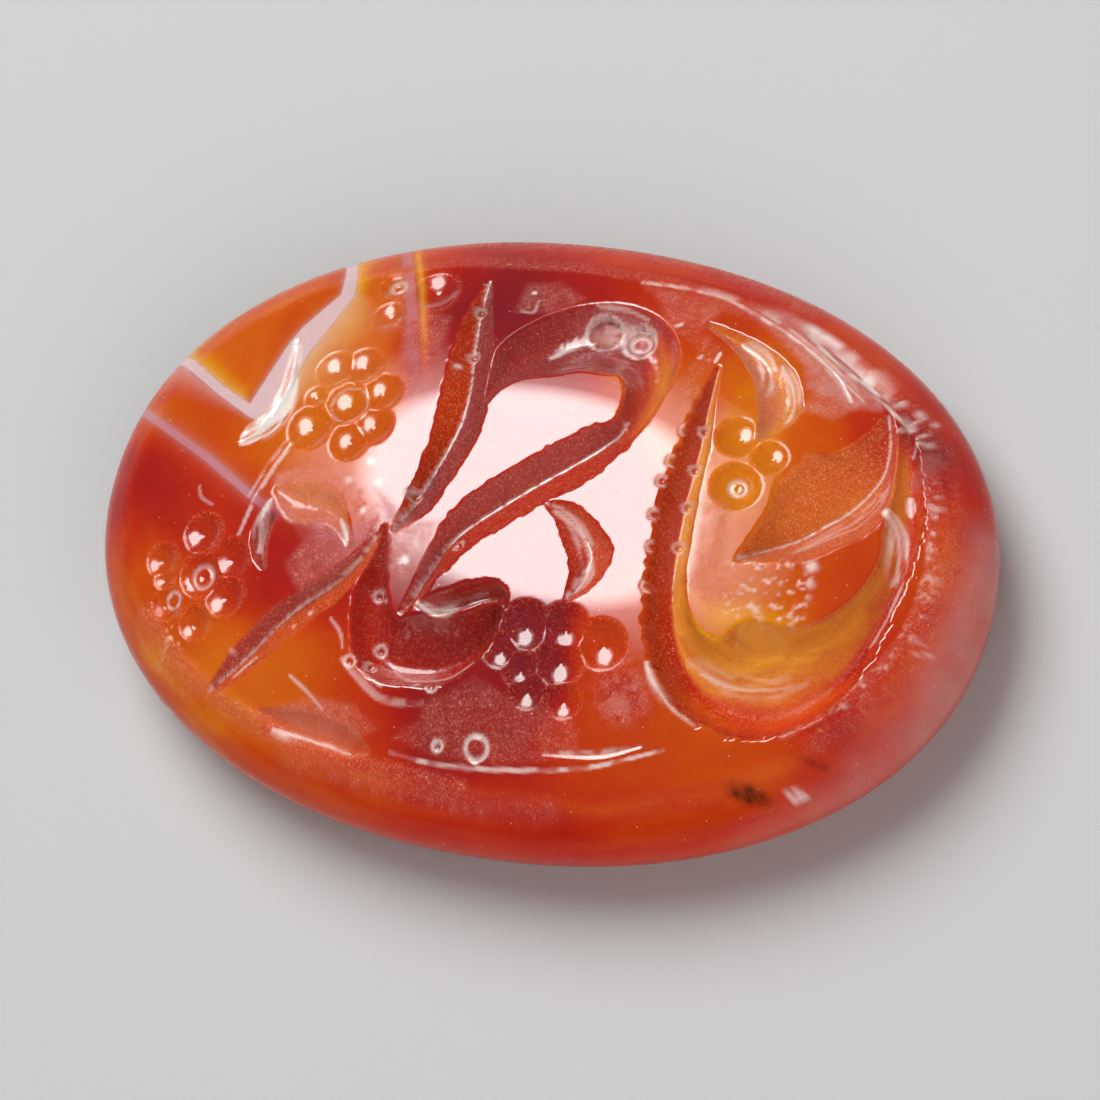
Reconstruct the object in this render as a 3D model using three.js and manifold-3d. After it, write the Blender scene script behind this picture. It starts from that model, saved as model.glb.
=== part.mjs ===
// An engraved ringstone of banded carnelian: a flat-backed oval with a domed, polished face, cut into with
// leaves, berries, a bud and a large cup. The stone grew in layers, and each named piece is one of them,
// lying face to face with the next. Sizes are in millimetres, the origin is the middle of the flat back,
// +X runs along the long axis and +Z points out of the engraved face.

import * as THREE from 'three';
import { mergeVertices } from 'three/addons/utils/BufferGeometryUtils.js';
import Module from 'manifold-3d';

const wasm = await Module();
wasm.setup();

// The polished blank

const stoneLength = 20;
const stoneWidth = 14;
const girdleHeight = 1.9;
const shoulderRise = 1.4;
const shoulderInset = 1;
const shoulderTurn = THREE.MathUtils.degToRad(50);
const domeRise = 1.4;
const backInset = 1.3;
const undersideTurn = THREE.MathUtils.degToRad(65);
const outlineFullness = 2.11;

// The engraver's wheels and drills: how deep each kind of cut goes, and the radius of each ball drill

const bladeDepth = 0.5;
const archDepth = 0.6;
const bowlDepth = 0.75;
const cupDepth = 1.05;
const petalDepth = 0.6;
const shallowDepth = 0.3;
const lineDepth = 0.14;
const largeBall = 0.48;
const mediumBall = 0.4;
const smallBall = 0.32;
const beadBall = 0.13;
const ballSinkShare = 0.85;
const ringDrill = 0.24;
const ringDrillEdge = 0.06;

// The layers slant through the stone: how far a layer moves for each millimetre of height

const slantAlongShare = 0.4;
const slantAcrossShare = -0.25;

// How far every cutting shape runs past the stone, how much its sides open out on the way, and the least
// that it moves on from one section to the next

const overrun = 1;
const openingShare = 0.35;
const leastStep = 0.02;

// Worked out from the sizes above

const halfLength = stoneLength / 2;
const halfWidth = stoneWidth / 2;
const arrisHeight = girdleHeight + shoulderRise;
const domeHalfLength = halfLength - shoulderInset;
const domeHalfWidth = halfWidth - shoulderInset;

// Facet counts

const outlineSteps = 84;
const shoulderSteps = 4;
const undersideSteps = 3;
const domeRingShares = [0.86, 0.7, 0.53, 0.36, 0.18];
const ringSides = 14;
const ringEdgeSides = 6;

// Solids and meshes

function toSolid(geometry) {
  geometry.deleteAttribute('normal');
  geometry.deleteAttribute('uv');
  const welded = mergeVertices(geometry);
  const mesh = new wasm.Mesh({
    numProp: 3,
    vertProperties: new Float32Array(welded.attributes.position.array),
    triVerts: new Uint32Array(welded.index.array),
  });
  return new wasm.Manifold(mesh);
}

function toGeometry(solid) {
  const mesh = solid.getMesh();
  const geometry = new THREE.BufferGeometry();
  geometry.setAttribute('position', new THREE.BufferAttribute(mesh.vertProperties, 3));
  geometry.setIndex(new THREE.BufferAttribute(mesh.triVerts, 1));
  geometry.computeVertexNormals();
  return geometry;
}

function middleOf(ring) {
  const middle = new THREE.Vector3();
  ring.forEach((point) => middle.add(point));
  return middle.divideScalar(ring.length);
}

// A closed solid through rings of points, one ring after another. The first end is closed by a fan to its
// middle, and the last by a fan to a tip.

function loft(rings, tip = middleOf(rings.at(-1))) {
  const sides = rings[0].length;
  const points = rings.flat();
  const faces = [];
  for (let ring = 0; ring + 1 < rings.length; ring += 1) {
    for (let side = 0; side < sides; side += 1) {
      const here = ring * sides + side;
      const beside = ring * sides + (side + 1) % sides;
      faces.push(here, beside, here + sides);
      faces.push(beside, beside + sides, here + sides);
    }
  }
  const lastRing = (rings.length - 1) * sides;
  const firstMiddle = points.push(middleOf(rings[0])) - 1;
  const lastTip = points.push(tip) - 1;
  for (let side = 0; side < sides; side += 1) {
    const beside = (side + 1) % sides;
    faces.push(beside, side, firstMiddle);
    faces.push(lastRing + side, lastRing + beside, lastTip);
  }
  const geometry = new THREE.BufferGeometry().setFromPoints(points);
  geometry.setIndex(faces);
  return geometry;
}

// The blank is lofted through level rings of one outline, a slightly full oval

function outlineRing(alongRadius, acrossRadius, height) {
  return Array.from({ length: outlineSteps }, (_, step) => {
    const angle = (step / outlineSteps) * 2 * Math.PI;
    const along = Math.cos(angle);
    const across = Math.sin(angle);
    const x = alongRadius * Math.sign(along) * Math.abs(along) ** (2 / outlineFullness);
    const y = acrossRadius * Math.sign(across) * Math.abs(across) ** (2 / outlineFullness);
    return new THREE.Vector3(x, y, height);
  });
}

function insetRing(inset, height) {
  return outlineRing(halfLength - inset, halfWidth - inset, height);
}

function makeBlank() {
  const rings = [];
  for (let step = undersideSteps; step > 0; step -= 1) {
    const angle = (step / undersideSteps) * undersideTurn;
    const inset = backInset * (1 - Math.cos(angle)) / (1 - Math.cos(undersideTurn));
    const height = girdleHeight * (1 - Math.sin(angle) / Math.sin(undersideTurn));
    rings.push(insetRing(inset, height));
  }
  for (let step = 0; step <= shoulderSteps; step += 1) {
    const angle = (step / shoulderSteps) * shoulderTurn;
    const inset = shoulderInset * (1 - Math.cos(angle)) / (1 - Math.cos(shoulderTurn));
    const height = girdleHeight + shoulderRise * Math.sin(angle) / Math.sin(shoulderTurn);
    rings.push(insetRing(inset, height));
  }
  for (const share of domeRingShares) {
    const height = arrisHeight + domeRise * (1 - share ** 2);
    rings.push(outlineRing(domeHalfLength * share, domeHalfWidth * share, height));
  }
  const crown = new THREE.Vector3(0, 0, arrisHeight + domeRise);
  return toSolid(loft(rings, crown));
}

// The height of the domed face over a place on the stone

function faceHeight(x, y) {
  const along = Math.abs(x / domeHalfLength) ** outlineFullness;
  const across = Math.abs(y / domeHalfWidth) ** outlineFullness;
  const reach = (along + across) ** (1 / outlineFullness);
  return arrisHeight + domeRise * (1 - reach ** 2);
}

// Cross-sections of the cuts: how deep they are, as a share, from one edge (-1) over the middle to the other

const wideAcrossShares = [-1, -0.7, -0.36, 0, 0.36, 0.7, 1];
const narrowAcrossShares = [-1, -0.5, 0, 0.5, 1];
const lineAcrossShares = [-1, 0, 1];
const veeSection = (across) => 1 - Math.abs(across) ** 1.15;
const roundSection = (across) => 1 - across ** 2;

// Wheel cuts. Each route row holds the place along and across the stone, the width to the left and to the
// right of the way that the wheel went, and the depth. Places are shares of the stone's half length and half
// width, widths are shares of its half width, and depths are shares of the cut's own depth.

const tallBlade = {
  depth: bladeDepth,
  section: veeSection,
  acrossShares: wideAcrossShares,
  steps: 10,
  routeShares: [
    [-0.206, 0.748, 0.008, 0.008, 0.2],
    [-0.197, 0.63, 0.04, 0.046, 0.75],
    [-0.179, 0.49, 0.062, 0.073, 1],
    [-0.158, 0.355, 0.058, 0.088, 1],
    [-0.152, 0.24, 0.068, 0.088, 1],
    [-0.163, 0.14, 0.07, 0.07, 1],
    [-0.183, 0.035, 0.061, 0.052, 0.9],
    [-0.207, -0.06, 0.05, 0.033, 0.7],
    [-0.242, -0.146, 0.008, 0.008, 0.2],
  ],
};
const arch = {
  depth: archDepth,
  section: roundSection,
  acrossShares: wideAcrossShares,
  steps: 14,
  routeShares: [
    [-0.103, 0.29, 0.015, 0.015, 0.3],
    [-0.095, 0.39, 0.035, 0.06, 0.7],
    [-0.064, 0.475, 0.08, 0.1, 0.9],
    [-0.02, 0.538, 0.105, 0.122, 1],
    [0.045, 0.58, 0.126, 0.128, 1],
    [0.11, 0.592, 0.137, 0.132, 1],
    [0.17, 0.57, 0.125, 0.125, 1],
    [0.21, 0.515, 0.095, 0.105, 1],
    [0.222, 0.435, 0.064, 0.07, 0.95],
    [0.217, 0.34, 0.05, 0.052, 0.8],
    [0.205, 0.25, 0.03, 0.03, 0.5],
  ],
};
const longBlade = {
  depth: bladeDepth,
  section: veeSection,
  acrossShares: wideAcrossShares,
  steps: 15,
  routeShares: [
    [0.212, 0.37, 0.02, 0.02, 0.4],
    [0.203, 0.27, 0.04, 0.06, 0.9],
    [0.179, 0.218, 0.047, 0.085, 1],
    [0.133, 0.15, 0.067, 0.099, 1],
    [0.05, 0.046, 0.061, 0.101, 1],
    [-0.038, -0.067, 0.057, 0.094, 1],
    [-0.081, -0.126, 0.053, 0.076, 1],
    [-0.117, -0.198, 0.047, 0.046, 0.9],
    [-0.142, -0.269, 0.034, 0.03, 0.75],
    [-0.16, -0.338, 0.022, 0.022, 0.5],
    [-0.183, -0.392, 0.008, 0.008, 0.2],
  ],
};
const lowerBlade = {
  depth: bladeDepth,
  section: veeSection,
  acrossShares: narrowAcrossShares,
  steps: 9,
  routeShares: [
    [-0.268, -0.162, 0.008, 0.008, 0.2],
    [-0.297, -0.245, 0.027, 0.03, 0.6],
    [-0.345, -0.33, 0.05, 0.046, 0.9],
    [-0.405, -0.398, 0.058, 0.05, 1],
    [-0.46, -0.472, 0.052, 0.062, 1],
    [-0.508, -0.553, 0.047, 0.062, 1],
    [-0.558, -0.626, 0.034, 0.045, 0.8],
    [-0.606, -0.684, 0.008, 0.008, 0.2],
  ],
};
const sideLeaf = {
  depth: shallowDepth,
  section: roundSection,
  acrossShares: narrowAcrossShares,
  steps: 6,
  routeShares: [
    [-0.54, -0.05, 0.02, 0.01, 0.3],
    [-0.475, -0.082, 0.075, 0.07, 0.9],
    [-0.405, -0.098, 0.062, 0.05, 1],
    [-0.36, -0.142, 0.025, 0.025, 0.7],
    [-0.333, -0.2, 0.008, 0.008, 0.2],
  ],
};
const commaLeaf = {
  depth: bladeDepth,
  section: veeSection,
  acrossShares: narrowAcrossShares,
  steps: 8,
  routeShares: [
    [0.084, -0.002, 0.008, 0.008, 0.2],
    [0.13, -0.02, 0.034, 0.04, 0.7],
    [0.168, -0.065, 0.05, 0.06, 1],
    [0.2, -0.13, 0.067, 0.068, 1],
    [0.2, -0.19, 0.05, 0.053, 0.9],
    [0.186, -0.24, 0.034, 0.024, 0.6],
    [0.172, -0.285, 0.008, 0.008, 0.2],
  ],
};
const budBowl = {
  depth: bowlDepth,
  section: roundSection,
  acrossShares: wideAcrossShares,
  steps: 14,
  routeShares: [
    [-0.262, -0.135, 0.008, 0.008, 0.15],
    [-0.262, -0.22, 0.035, 0.02, 0.45],
    [-0.26, -0.33, 0.05, 0.05, 0.7],
    [-0.252, -0.43, 0.085, 0.06, 0.8],
    [-0.215, -0.5, 0.11, 0.09, 0.9],
    [-0.15, -0.515, 0.125, 0.085, 1],
    [-0.08, -0.492, 0.125, 0.09, 1],
    [-0.015, -0.435, 0.09, 0.058, 0.9],
    [0.018, -0.36, 0.045, 0.03, 0.6],
    [0.032, -0.315, 0.015, 0.015, 0.3],
  ],
};
const budLip = {
  depth: bladeDepth,
  section: roundSection,
  acrossShares: narrowAcrossShares,
  steps: 8,
  routeShares: [
    [-0.152, -0.352, 0.012, 0.012, 0.3],
    [-0.115, -0.355, 0.034, 0.03, 0.8],
    [-0.08, -0.337, 0.038, 0.034, 1],
    [-0.04, -0.309, 0.036, 0.034, 1],
    [-0.002, -0.29, 0.033, 0.033, 1],
    [0.026, -0.3, 0.024, 0.024, 0.8],
    [0.04, -0.338, 0.012, 0.012, 0.3],
  ],
};
const cup = {
  depth: cupDepth,
  section: roundSection,
  acrossShares: wideAcrossShares,
  steps: 30,
  routeShares: [
    [0.355, 0.548, 0.008, 0.008, 0.1],
    [0.354, 0.42, 0.026, 0.026, 0.32],
    [0.357, 0.27, 0.046, 0.046, 0.5],
    [0.355, 0.1, 0.055, 0.055, 0.6],
    [0.36, -0.05, 0.057, 0.055, 0.62],
    [0.367, -0.18, 0.06, 0.056, 0.66],
    [0.388, -0.3, 0.075, 0.068, 0.74],
    [0.425, -0.395, 0.1, 0.08, 0.86],
    [0.48, -0.452, 0.122, 0.11, 1],
    [0.56, -0.462, 0.138, 0.126, 1],
    [0.64, -0.427, 0.135, 0.12, 1],
    [0.712, -0.348, 0.11, 0.098, 0.9],
    [0.762, -0.24, 0.08, 0.078, 0.76],
    [0.797, -0.11, 0.055, 0.055, 0.62],
    [0.815, 0.01, 0.05, 0.048, 0.58],
    [0.815, 0.1, 0.056, 0.056, 0.58],
    [0.81, 0.2, 0.05, 0.055, 0.52],
    [0.795, 0.31, 0.04, 0.045, 0.42],
    [0.778, 0.41, 0.03, 0.03, 0.3],
    [0.765, 0.49, 0.01, 0.01, 0.12],
  ],
};
const wingPetal = {
  depth: petalDepth,
  section: veeSection,
  acrossShares: wideAcrossShares,
  steps: 10,
  routeShares: [
    [0.503, -0.072, 0.01, 0.008, 0.2],
    [0.56, -0.03, 0.095, 0.03, 0.8],
    [0.617, 0.017, 0.18, 0.06, 1],
    [0.667, 0.082, 0.225, 0.068, 1],
    [0.712, 0.15, 0.25, 0.08, 1],
    [0.742, 0.225, 0.24, 0.06, 1],
    [0.757, 0.305, 0.2, 0.03, 0.9],
    [0.75, 0.4, 0.12, 0.02, 0.6],
    [0.728, 0.495, 0.012, 0.01, 0.2],
  ],
};
const cupCrescent = {
  depth: shallowDepth,
  section: roundSection,
  acrossShares: narrowAcrossShares,
  steps: 9,
  routeShares: [
    [0.3, 0.697, 0.008, 0.008, 0.4],
    [0.355, 0.668, 0.022, 0.022, 0.8],
    [0.41, 0.625, 0.04, 0.04, 1],
    [0.45, 0.58, 0.055, 0.055, 1],
    [0.483, 0.53, 0.064, 0.064, 1],
    [0.506, 0.437, 0.068, 0.068, 1],
    [0.492, 0.362, 0.035, 0.035, 0.8],
    [0.483, 0.322, 0.012, 0.012, 0.4],
  ],
};
const whiteCrescent = {
  depth: shallowDepth,
  section: roundSection,
  acrossShares: narrowAcrossShares,
  steps: 7,
  routeShares: [
    [-0.598, 0.47, 0.008, 0.008, 0.4],
    [-0.586, 0.38, 0.02, 0.022, 0.9],
    [-0.583, 0.28, 0.026, 0.028, 1],
    [-0.598, 0.2, 0.032, 0.032, 1],
    [-0.636, 0.135, 0.03, 0.03, 0.9],
    [-0.652, 0.088, 0.008, 0.008, 0.4],
  ],
};
const foldedPetal = {
  depth: shallowDepth,
  section: roundSection,
  acrossShares: narrowAcrossShares,
  steps: 5,
  routeShares: [
    [-0.528, -0.125, 0.015, 0.015, 0.5],
    [-0.546, -0.19, 0.034, 0.03, 1],
    [-0.542, -0.25, 0.028, 0.024, 1],
    [-0.52, -0.3, 0.01, 0.01, 0.4],
  ],
};

const wheelCuts = [
  tallBlade, arch, longBlade, lowerBlade, sideLeaf, commaLeaf, budBowl, budLip, cup, wingPetal,
  cupCrescent, whiteCrescent, foldedPetal,
];

// Fine lines, cut with the edge of the smallest wheel: places and width, as above

const outerArc = {
  steps: 14,
  routeShares: [
    [0.125, 0.822, 0.012],
    [0.217, 0.824, 0.016],
    [0.317, 0.807, 0.016],
    [0.4, 0.757, 0.016],
    [0.5, 0.688, 0.016],
    [0.592, 0.599, 0.016],
    [0.645, 0.51, 0.012],
  ],
};
const berryStem = {
  steps: 6,
  routeShares: [
    [-0.517, 0.128, 0.022],
    [-0.551, 0.03, 0.016],
    [-0.58, -0.083, 0.015],
    [-0.6, -0.205, 0.012],
  ],
};
const groundLine = {
  steps: 12,
  routeShares: [
    [-0.163, -0.792, 0.01],
    [-0.046, -0.804, 0.017],
    [0.1, -0.79, 0.016],
    [0.27, -0.746, 0.016],
    [0.425, -0.659, 0.01],
  ],
};
const groundLeaf = {
  steps: 6,
  routeShares: [
    [0.2, -0.727, 0.01],
    [0.29, -0.703, 0.024],
    [0.379, -0.656, 0.01],
  ],
};
const budLine = {
  steps: 9,
  routeShares: [
    [-0.3, -0.543, 0.01],
    [-0.258, -0.59, 0.016],
    [-0.2, -0.643, 0.018],
    [-0.133, -0.648, 0.016],
    [-0.1, -0.64, 0.01],
  ],
};

const lineCuts = [
  outerArc, berryStem, groundLine, groundLeaf, budLine,
];

// Ball-drilled berries and beads, by the drill that made them, at shares of the half length and half width

const ballCuts = [
  {
    radius: largeBall,
    sides: 14,
    placeShares: [
      [-0.317, 0.694],
      [-0.423, 0.254],
      [-0.496, 0.165],
      [-0.67, -0.335],
      [0.465, 0.157],
      [0.094, -0.375],
      [0.179, -0.46],
    ],
  },
  {
    radius: mediumBall,
    sides: 12,
    placeShares: [
      [-0.479, 0.373],
      [-0.35, 0.187],
      [-0.394, 0.128],
      [-0.606, -0.28],
      [0.441, 0.317],
      [0.177, -0.375],
      [0.262, -0.392],
      [0.098, 0.602],
    ],
  },
  {
    radius: smallBall,
    sides: 10,
    placeShares: [
      [-0.415, 0.706],
      [-0.392, 0.572],
      [-0.417, 0.39],
      [-0.354, 0.302],
      [-0.778, -0.296],
      [-0.703, -0.212],
      [-0.586, -0.388],
      [-0.745, -0.432],
      [-0.664, -0.484],
      [0.517, 0.27],
      [0.06, -0.456],
      [0.098, -0.502],
      [0.131, -0.562],
      [0.2, -0.572],
      [0.173, 0.581],
    ],
  },
  {
    radius: beadBall,
    sides: 8,
    placeShares: [
      [-0.197, 0.63],
      [-0.174, 0.461],
      [-0.203, -0.04],
      [-0.098, -0.152],
      [-0.257, -0.33],
      [-0.236, -0.485],
      [0.357, 0.337],
      [-0.057, -0.754],
    ],
  },
];

// The dot above the ground line was cut with a hollow drill, which leaves a ring

const ringPlaceShares = [0.029, -0.742];

// The wheel's section at one place of its way: down from over the face, along the cut and up again

function sectionRing(cut, place, heading) {
  const leftward = new THREE.Vector2(-heading.y, heading.x);
  const ring = [];
  const addPoint = (reach, drop) => {
    const x = place.x + leftward.x * reach;
    const y = place.y + leftward.y * reach;
    ring.push(new THREE.Vector3(x, y, faceHeight(x, y) - drop));
  };
  const opening = overrun * openingShare;
  addPoint(-place.right - opening, -overrun);
  for (const share of cut.acrossShares) {
    const reach = share * (share < 0 ? place.right : place.left);
    addPoint(reach, cut.depth * place.deep * cut.section(share));
  }
  addPoint(place.left + opening, -overrun);
  return ring;
}

function readRoute(routeShares) {
  const places = routeShares.map(([along, across]) => (
    new THREE.Vector3(along * halfLength, across * halfWidth, 0)
  ));
  const widths = routeShares.map(([, , left, right, deep]) => (
    new THREE.Vector3(left * halfWidth, right * halfWidth, deep)
  ));
  return { path: new THREE.CatmullRomCurve3(places), width: new THREE.CatmullRomCurve3(widths) };
}

// One length of a cut, as a closed block between two sections. On the inside of a tight bend the block's
// edges would run backwards, so there they keep a least step forward.

function lengthBetween(start, end) {
  const heading = middleOf(end).sub(middleOf(start)).setZ(0).normalize();
  const ahead = end.map((point, index) => {
    const step = point.clone().sub(start[index]).dot(heading);
    return point.clone().addScaledVector(heading, Math.max(0, leastStep - step));
  });
  return toSolid(loft([start, ahead]));
}

function cutAlong(stone, cut) {
  const { path, width } = readRoute(cut.routeShares);
  const rings = Array.from({ length: cut.steps + 1 }, (_, step) => {
    const share = step / cut.steps;
    const { x, y } = path.getPoint(share);
    const size = width.getPoint(share);
    const heading = path.getTangent(share);
    return sectionRing(cut, { x, y, left: size.x, right: size.y, deep: size.z }, heading);
  });
  const lengths = rings.slice(1).map((ring, index) => lengthBetween(rings[index], ring));
  const wheelPath = lengths.reduce((joined, length) => joined.add(length));
  return stone.subtract(wheelPath);
}

function cutBall(stone, { radius, sides }, [along, across]) {
  const x = along * halfLength;
  const y = across * halfWidth;
  const ball = new THREE.SphereGeometry(radius, sides, Math.ceil(sides / 2));
  ball.rotateX(Math.PI / 2);
  ball.translate(x, y, faceHeight(x, y) + radius * (1 - ballSinkShare));
  return stone.subtract(toSolid(ball));
}

function cutRing(stone, [along, across]) {
  const x = along * halfLength;
  const y = across * halfWidth;
  const ring = new THREE.TorusGeometry(ringDrill, ringDrillEdge, ringEdgeSides, ringSides);
  ring.translate(x, y, faceHeight(x, y));
  return stone.subtract(toSolid(ring));
}

function makeEngravedStone() {
  let stone = makeBlank();
  for (const cut of wheelCuts) {
    stone = cutAlong(stone, cut);
  }
  for (const line of lineCuts) {
    const routeShares = line.routeShares.map(([along, across, wide]) => [along, across, wide, wide, 1]);
    const fine = { depth: lineDepth, section: veeSection, acrossShares: lineAcrossShares };
    stone = cutAlong(stone, { ...line, ...fine, routeShares });
  }
  for (const drill of ballCuts) {
    for (const place of drill.placeShares) {
      stone = cutBall(stone, drill, place);
    }
  }
  return cutRing(stone, ringPlaceShares);
}

// The fronts of growth between one layer and the next, drawn at the height of the arris from the left rim
// round their bend to the top rim. Everything to the upper left of a front is older than it.

const wedgeFrontShares = [
  [-1.6, 0.98],
  [-0.845, 0.386],
  [-0.757, 0.304],
  [-0.684, 0.252],
  [-0.662, 0.348],
  [-0.632, 0.475],
  [-0.612, 0.533],
  [-0.545, 0.663],
  [-0.547, 0.743],
  [-0.66, 1.5],
];
const whiteFrontShares = [
  [-1.6, 0.93],
  [-0.855, 0.357],
  [-0.767, 0.277],
  [-0.675, 0.207],
  [-0.636, 0.195],
  [-0.609, 0.276],
  [-0.585, 0.435],
  [-0.544, 0.564],
  [-0.515, 0.66],
  [-0.521, 0.745],
  [-0.632, 1.5],
];
const amberFrontShares = [
  [-1.6, 0.74],
  [-0.87, 0.162],
  [-0.745, 0.069],
  [-0.632, -0.028],
  [-0.556, -0.087],
  [-0.481, -0.132],
  [-0.377, -0.126],
  [-0.313, -0.035],
  [-0.292, 0.096],
  [-0.299, 0.244],
  [-0.35, 0.442],
  [-0.378, 0.585],
  [-0.401, 0.703],
  [-0.43, 0.83],
  [-0.55, 1.5],
];
const lilacFrontShares = [
  [-1.6, 0.715],
  [-0.877, 0.142],
  [-0.752, 0.049],
  [-0.639, -0.049],
  [-0.561, -0.11],
  [-0.48, -0.159],
  [-0.357, -0.156],
  [-0.293, -0.044],
  [-0.271, 0.097],
  [-0.278, 0.244],
  [-0.328, 0.443],
  [-0.355, 0.585],
  [-0.378, 0.704],
  [-0.408, 0.83],
  [-0.526, 1.5],
];
const outsideCornerShares = [-1.6, 1.5];

// The space that the layers up to a front fill, as one slanting block taller than the stone

function growthBlock(frontShares) {
  const corners = [...frontShares, outsideCornerShares].map(([along, across]) => (
    new THREE.Vector2(along * halfLength, across * halfWidth)
  ));
  const height = arrisHeight + domeRise + 2 * overrun;
  const block = new THREE.ExtrudeGeometry(new THREE.Shape(corners), { depth: height, bevelEnabled: false });
  block.translate(0, 0, -overrun);
  const slant = new THREE.Matrix4().makeShear(0, 0, 0, 0, slantAlongShare, slantAcrossShare);
  const slide = new THREE.Matrix4().makeTranslation(0, 0, -arrisHeight);
  block.applyMatrix4(slide);
  block.applyMatrix4(slant);
  block.applyMatrix4(slide.invert());
  return toSolid(block);
}

// Each layer is what its own front holds of the engraved stone, less what the layer before it took

const layers = [
  { name: 'wedge_core', frontShares: wedgeFrontShares, color: 0xd9541a, roughness: 0.16 },
  { name: 'white_seam', frontShares: whiteFrontShares, color: 0xdcbfc2, roughness: 0.22 },
  { name: 'amber_zone', frontShares: amberFrontShares, color: 0xd2660f, roughness: 0.16 },
  { name: 'lilac_seam', frontShares: lilacFrontShares, color: 0xb4757c, roughness: 0.22 },
  { name: 'red_body', frontShares: null, color: 0x9c1a10, roughness: 0.16 },
];

function makeGem() {
  const gem = new THREE.Group();
  let remaining = makeEngravedStone();
  for (const layer of layers) {
    let solid = remaining;
    if (layer.frontShares) {
      const block = growthBlock(layer.frontShares);
      solid = remaining.intersect(block);
      remaining = remaining.subtract(block);
    }
    const material = new THREE.MeshStandardMaterial({
      color: layer.color,
      roughness: layer.roughness,
      metalness: 0,
      flatShading: true,
    });
    const mesh = new THREE.Mesh(toGeometry(solid), material);
    mesh.name = layer.name;
    gem.add(mesh);
  }
  return gem;
}

export default makeGem();
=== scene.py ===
# %% [markdown]
# # An engraved ringstone of banded carnelian
# The stone is an oval, 20 mm long, with a flat back and a domed, polished face. The engraver cut the
# picture into the face with small wheels, ball drills and a hollow drill, so every leaf and berry is a
# hollow. The stone itself grew in layers, and each layer is a piece of its own here, lying against the
# next.
#
# Work is in millimetres, and one factor turns it into Blender's metres at the end.

# %% Frame and tools
import math

import bpy
import numpy as np
from mathutils import Matrix, Vector


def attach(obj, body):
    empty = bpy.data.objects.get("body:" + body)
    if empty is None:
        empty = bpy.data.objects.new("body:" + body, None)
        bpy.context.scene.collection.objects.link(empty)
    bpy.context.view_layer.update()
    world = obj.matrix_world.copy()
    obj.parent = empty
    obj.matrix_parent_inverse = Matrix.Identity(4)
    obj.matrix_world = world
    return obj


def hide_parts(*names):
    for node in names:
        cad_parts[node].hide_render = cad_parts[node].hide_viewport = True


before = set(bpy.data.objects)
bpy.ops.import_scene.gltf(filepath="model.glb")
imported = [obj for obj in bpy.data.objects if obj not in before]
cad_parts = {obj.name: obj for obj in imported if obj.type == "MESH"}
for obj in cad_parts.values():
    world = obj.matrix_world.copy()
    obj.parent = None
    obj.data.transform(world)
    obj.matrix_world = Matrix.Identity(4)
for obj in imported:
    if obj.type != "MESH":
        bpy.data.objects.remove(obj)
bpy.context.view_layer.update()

MM = 0.001

# %% [markdown]
# ## Camera
# The photograph was taken with a long lens from above, a little to the right and to the front. The
# direction and the roll were measured on the oval outline: its two axes are seen shortened, and turned by
# a few degrees. A long lens is the right choice for small things, because it keeps the near rim from
# looking larger.

# %% Camera
TILT = math.sin(math.radians(18))
ROLL = math.radians(8.05)
AIM_HEIGHT, DISTANCE = 2.4, 98.26
FRAMING = (0.301, -0.263)
LENS, FILM_WIDTH, NEAREST = 150, 36, 0.001

towards_camera = Vector((TILT, -TILT, math.sqrt(1 - 2 * TILT**2)))
level_right = (Vector((1, 0, 0)) - towards_camera * towards_camera.x).normalized()
level_up = towards_camera.cross(level_right)
picture_right = level_right * math.cos(ROLL) + level_up * math.sin(ROLL)
picture_up = level_up * math.cos(ROLL) - level_right * math.sin(ROLL)

eye = Vector((0, 0, AIM_HEIGHT)) + towards_camera * DISTANCE
eye += picture_right * FRAMING[0] + picture_up * FRAMING[1]


def put(name, data):
    """A new object in the scene that shows this data."""
    made = bpy.data.objects.new(name, data)
    bpy.context.scene.collection.objects.link(made)
    return made


def standing(place, right, up, back):
    """The matrix of a camera or a lamp at a place in mm, which looks away from its back."""
    return Matrix.Translation(place * MM) @ Matrix((right, up, back)).transposed().to_4x4()


camera = put("camera", bpy.data.cameras.new("camera"))
camera.data.lens, camera.data.sensor_width, camera.data.clip_start = LENS, FILM_WIDTH, NEAREST
camera.matrix_world = standing(eye, picture_right, picture_up, towards_camera)
bpy.context.scene.camera = camera
bpy.context.scene.view_settings.view_transform = "Standard"
print("camera at", [round(v, 2) for v in eye], "mm")

# %% [markdown]
# ## Light
# A polished dome is a mirror, and what it mirrors in the middle is the lamp that stands in the camera's
# mirror direction: a soft box. Its cloth is brightest in the middle and the light spills round it, which
# gives the reflection its soft rim and its peach-coloured surround. So the soft box and its spill are
# stacks of thin oval lamps, each a little wider than the last. A fill panel beside the camera lights the
# walls of the cuts and brings the face up to a plain level, at which a colour shows about as written.
# Photographers of gems put a polarising film on such a fill and cross it on the lens, so that it isn't
# mirrored in the stone, as here. The red of the stone lies under every reflection and would turn it pink,
# so the cloth is a little cooler than white. The spill and the fill are a little warmer, and together
# they light the floor with a neutral grey.


# %% Soft box and panels
def soft_panel(name, direction, distance, width, height, radiance, tint):
    """An oval lamp that faces the stone. Its size is in degrees as the stone sees it."""
    wide, high = (2 * distance * MM * math.tan(math.radians(angle / 2)) for angle in (width, height))
    lamp = bpy.data.lights.new(name, "AREA")
    lamp.shape, lamp.size, lamp.size_y, lamp.color = "ELLIPSE", wide, high, tint
    lamp.energy = radiance * math.pi * wide * high * math.pi / 4
    holder = put(name, lamp)
    back = direction.normalized()
    right = (picture_right - back * picture_right.dot(back)).normalized()
    holder.matrix_world = standing(back * distance, right, back.cross(right), back)
    return holder


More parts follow.
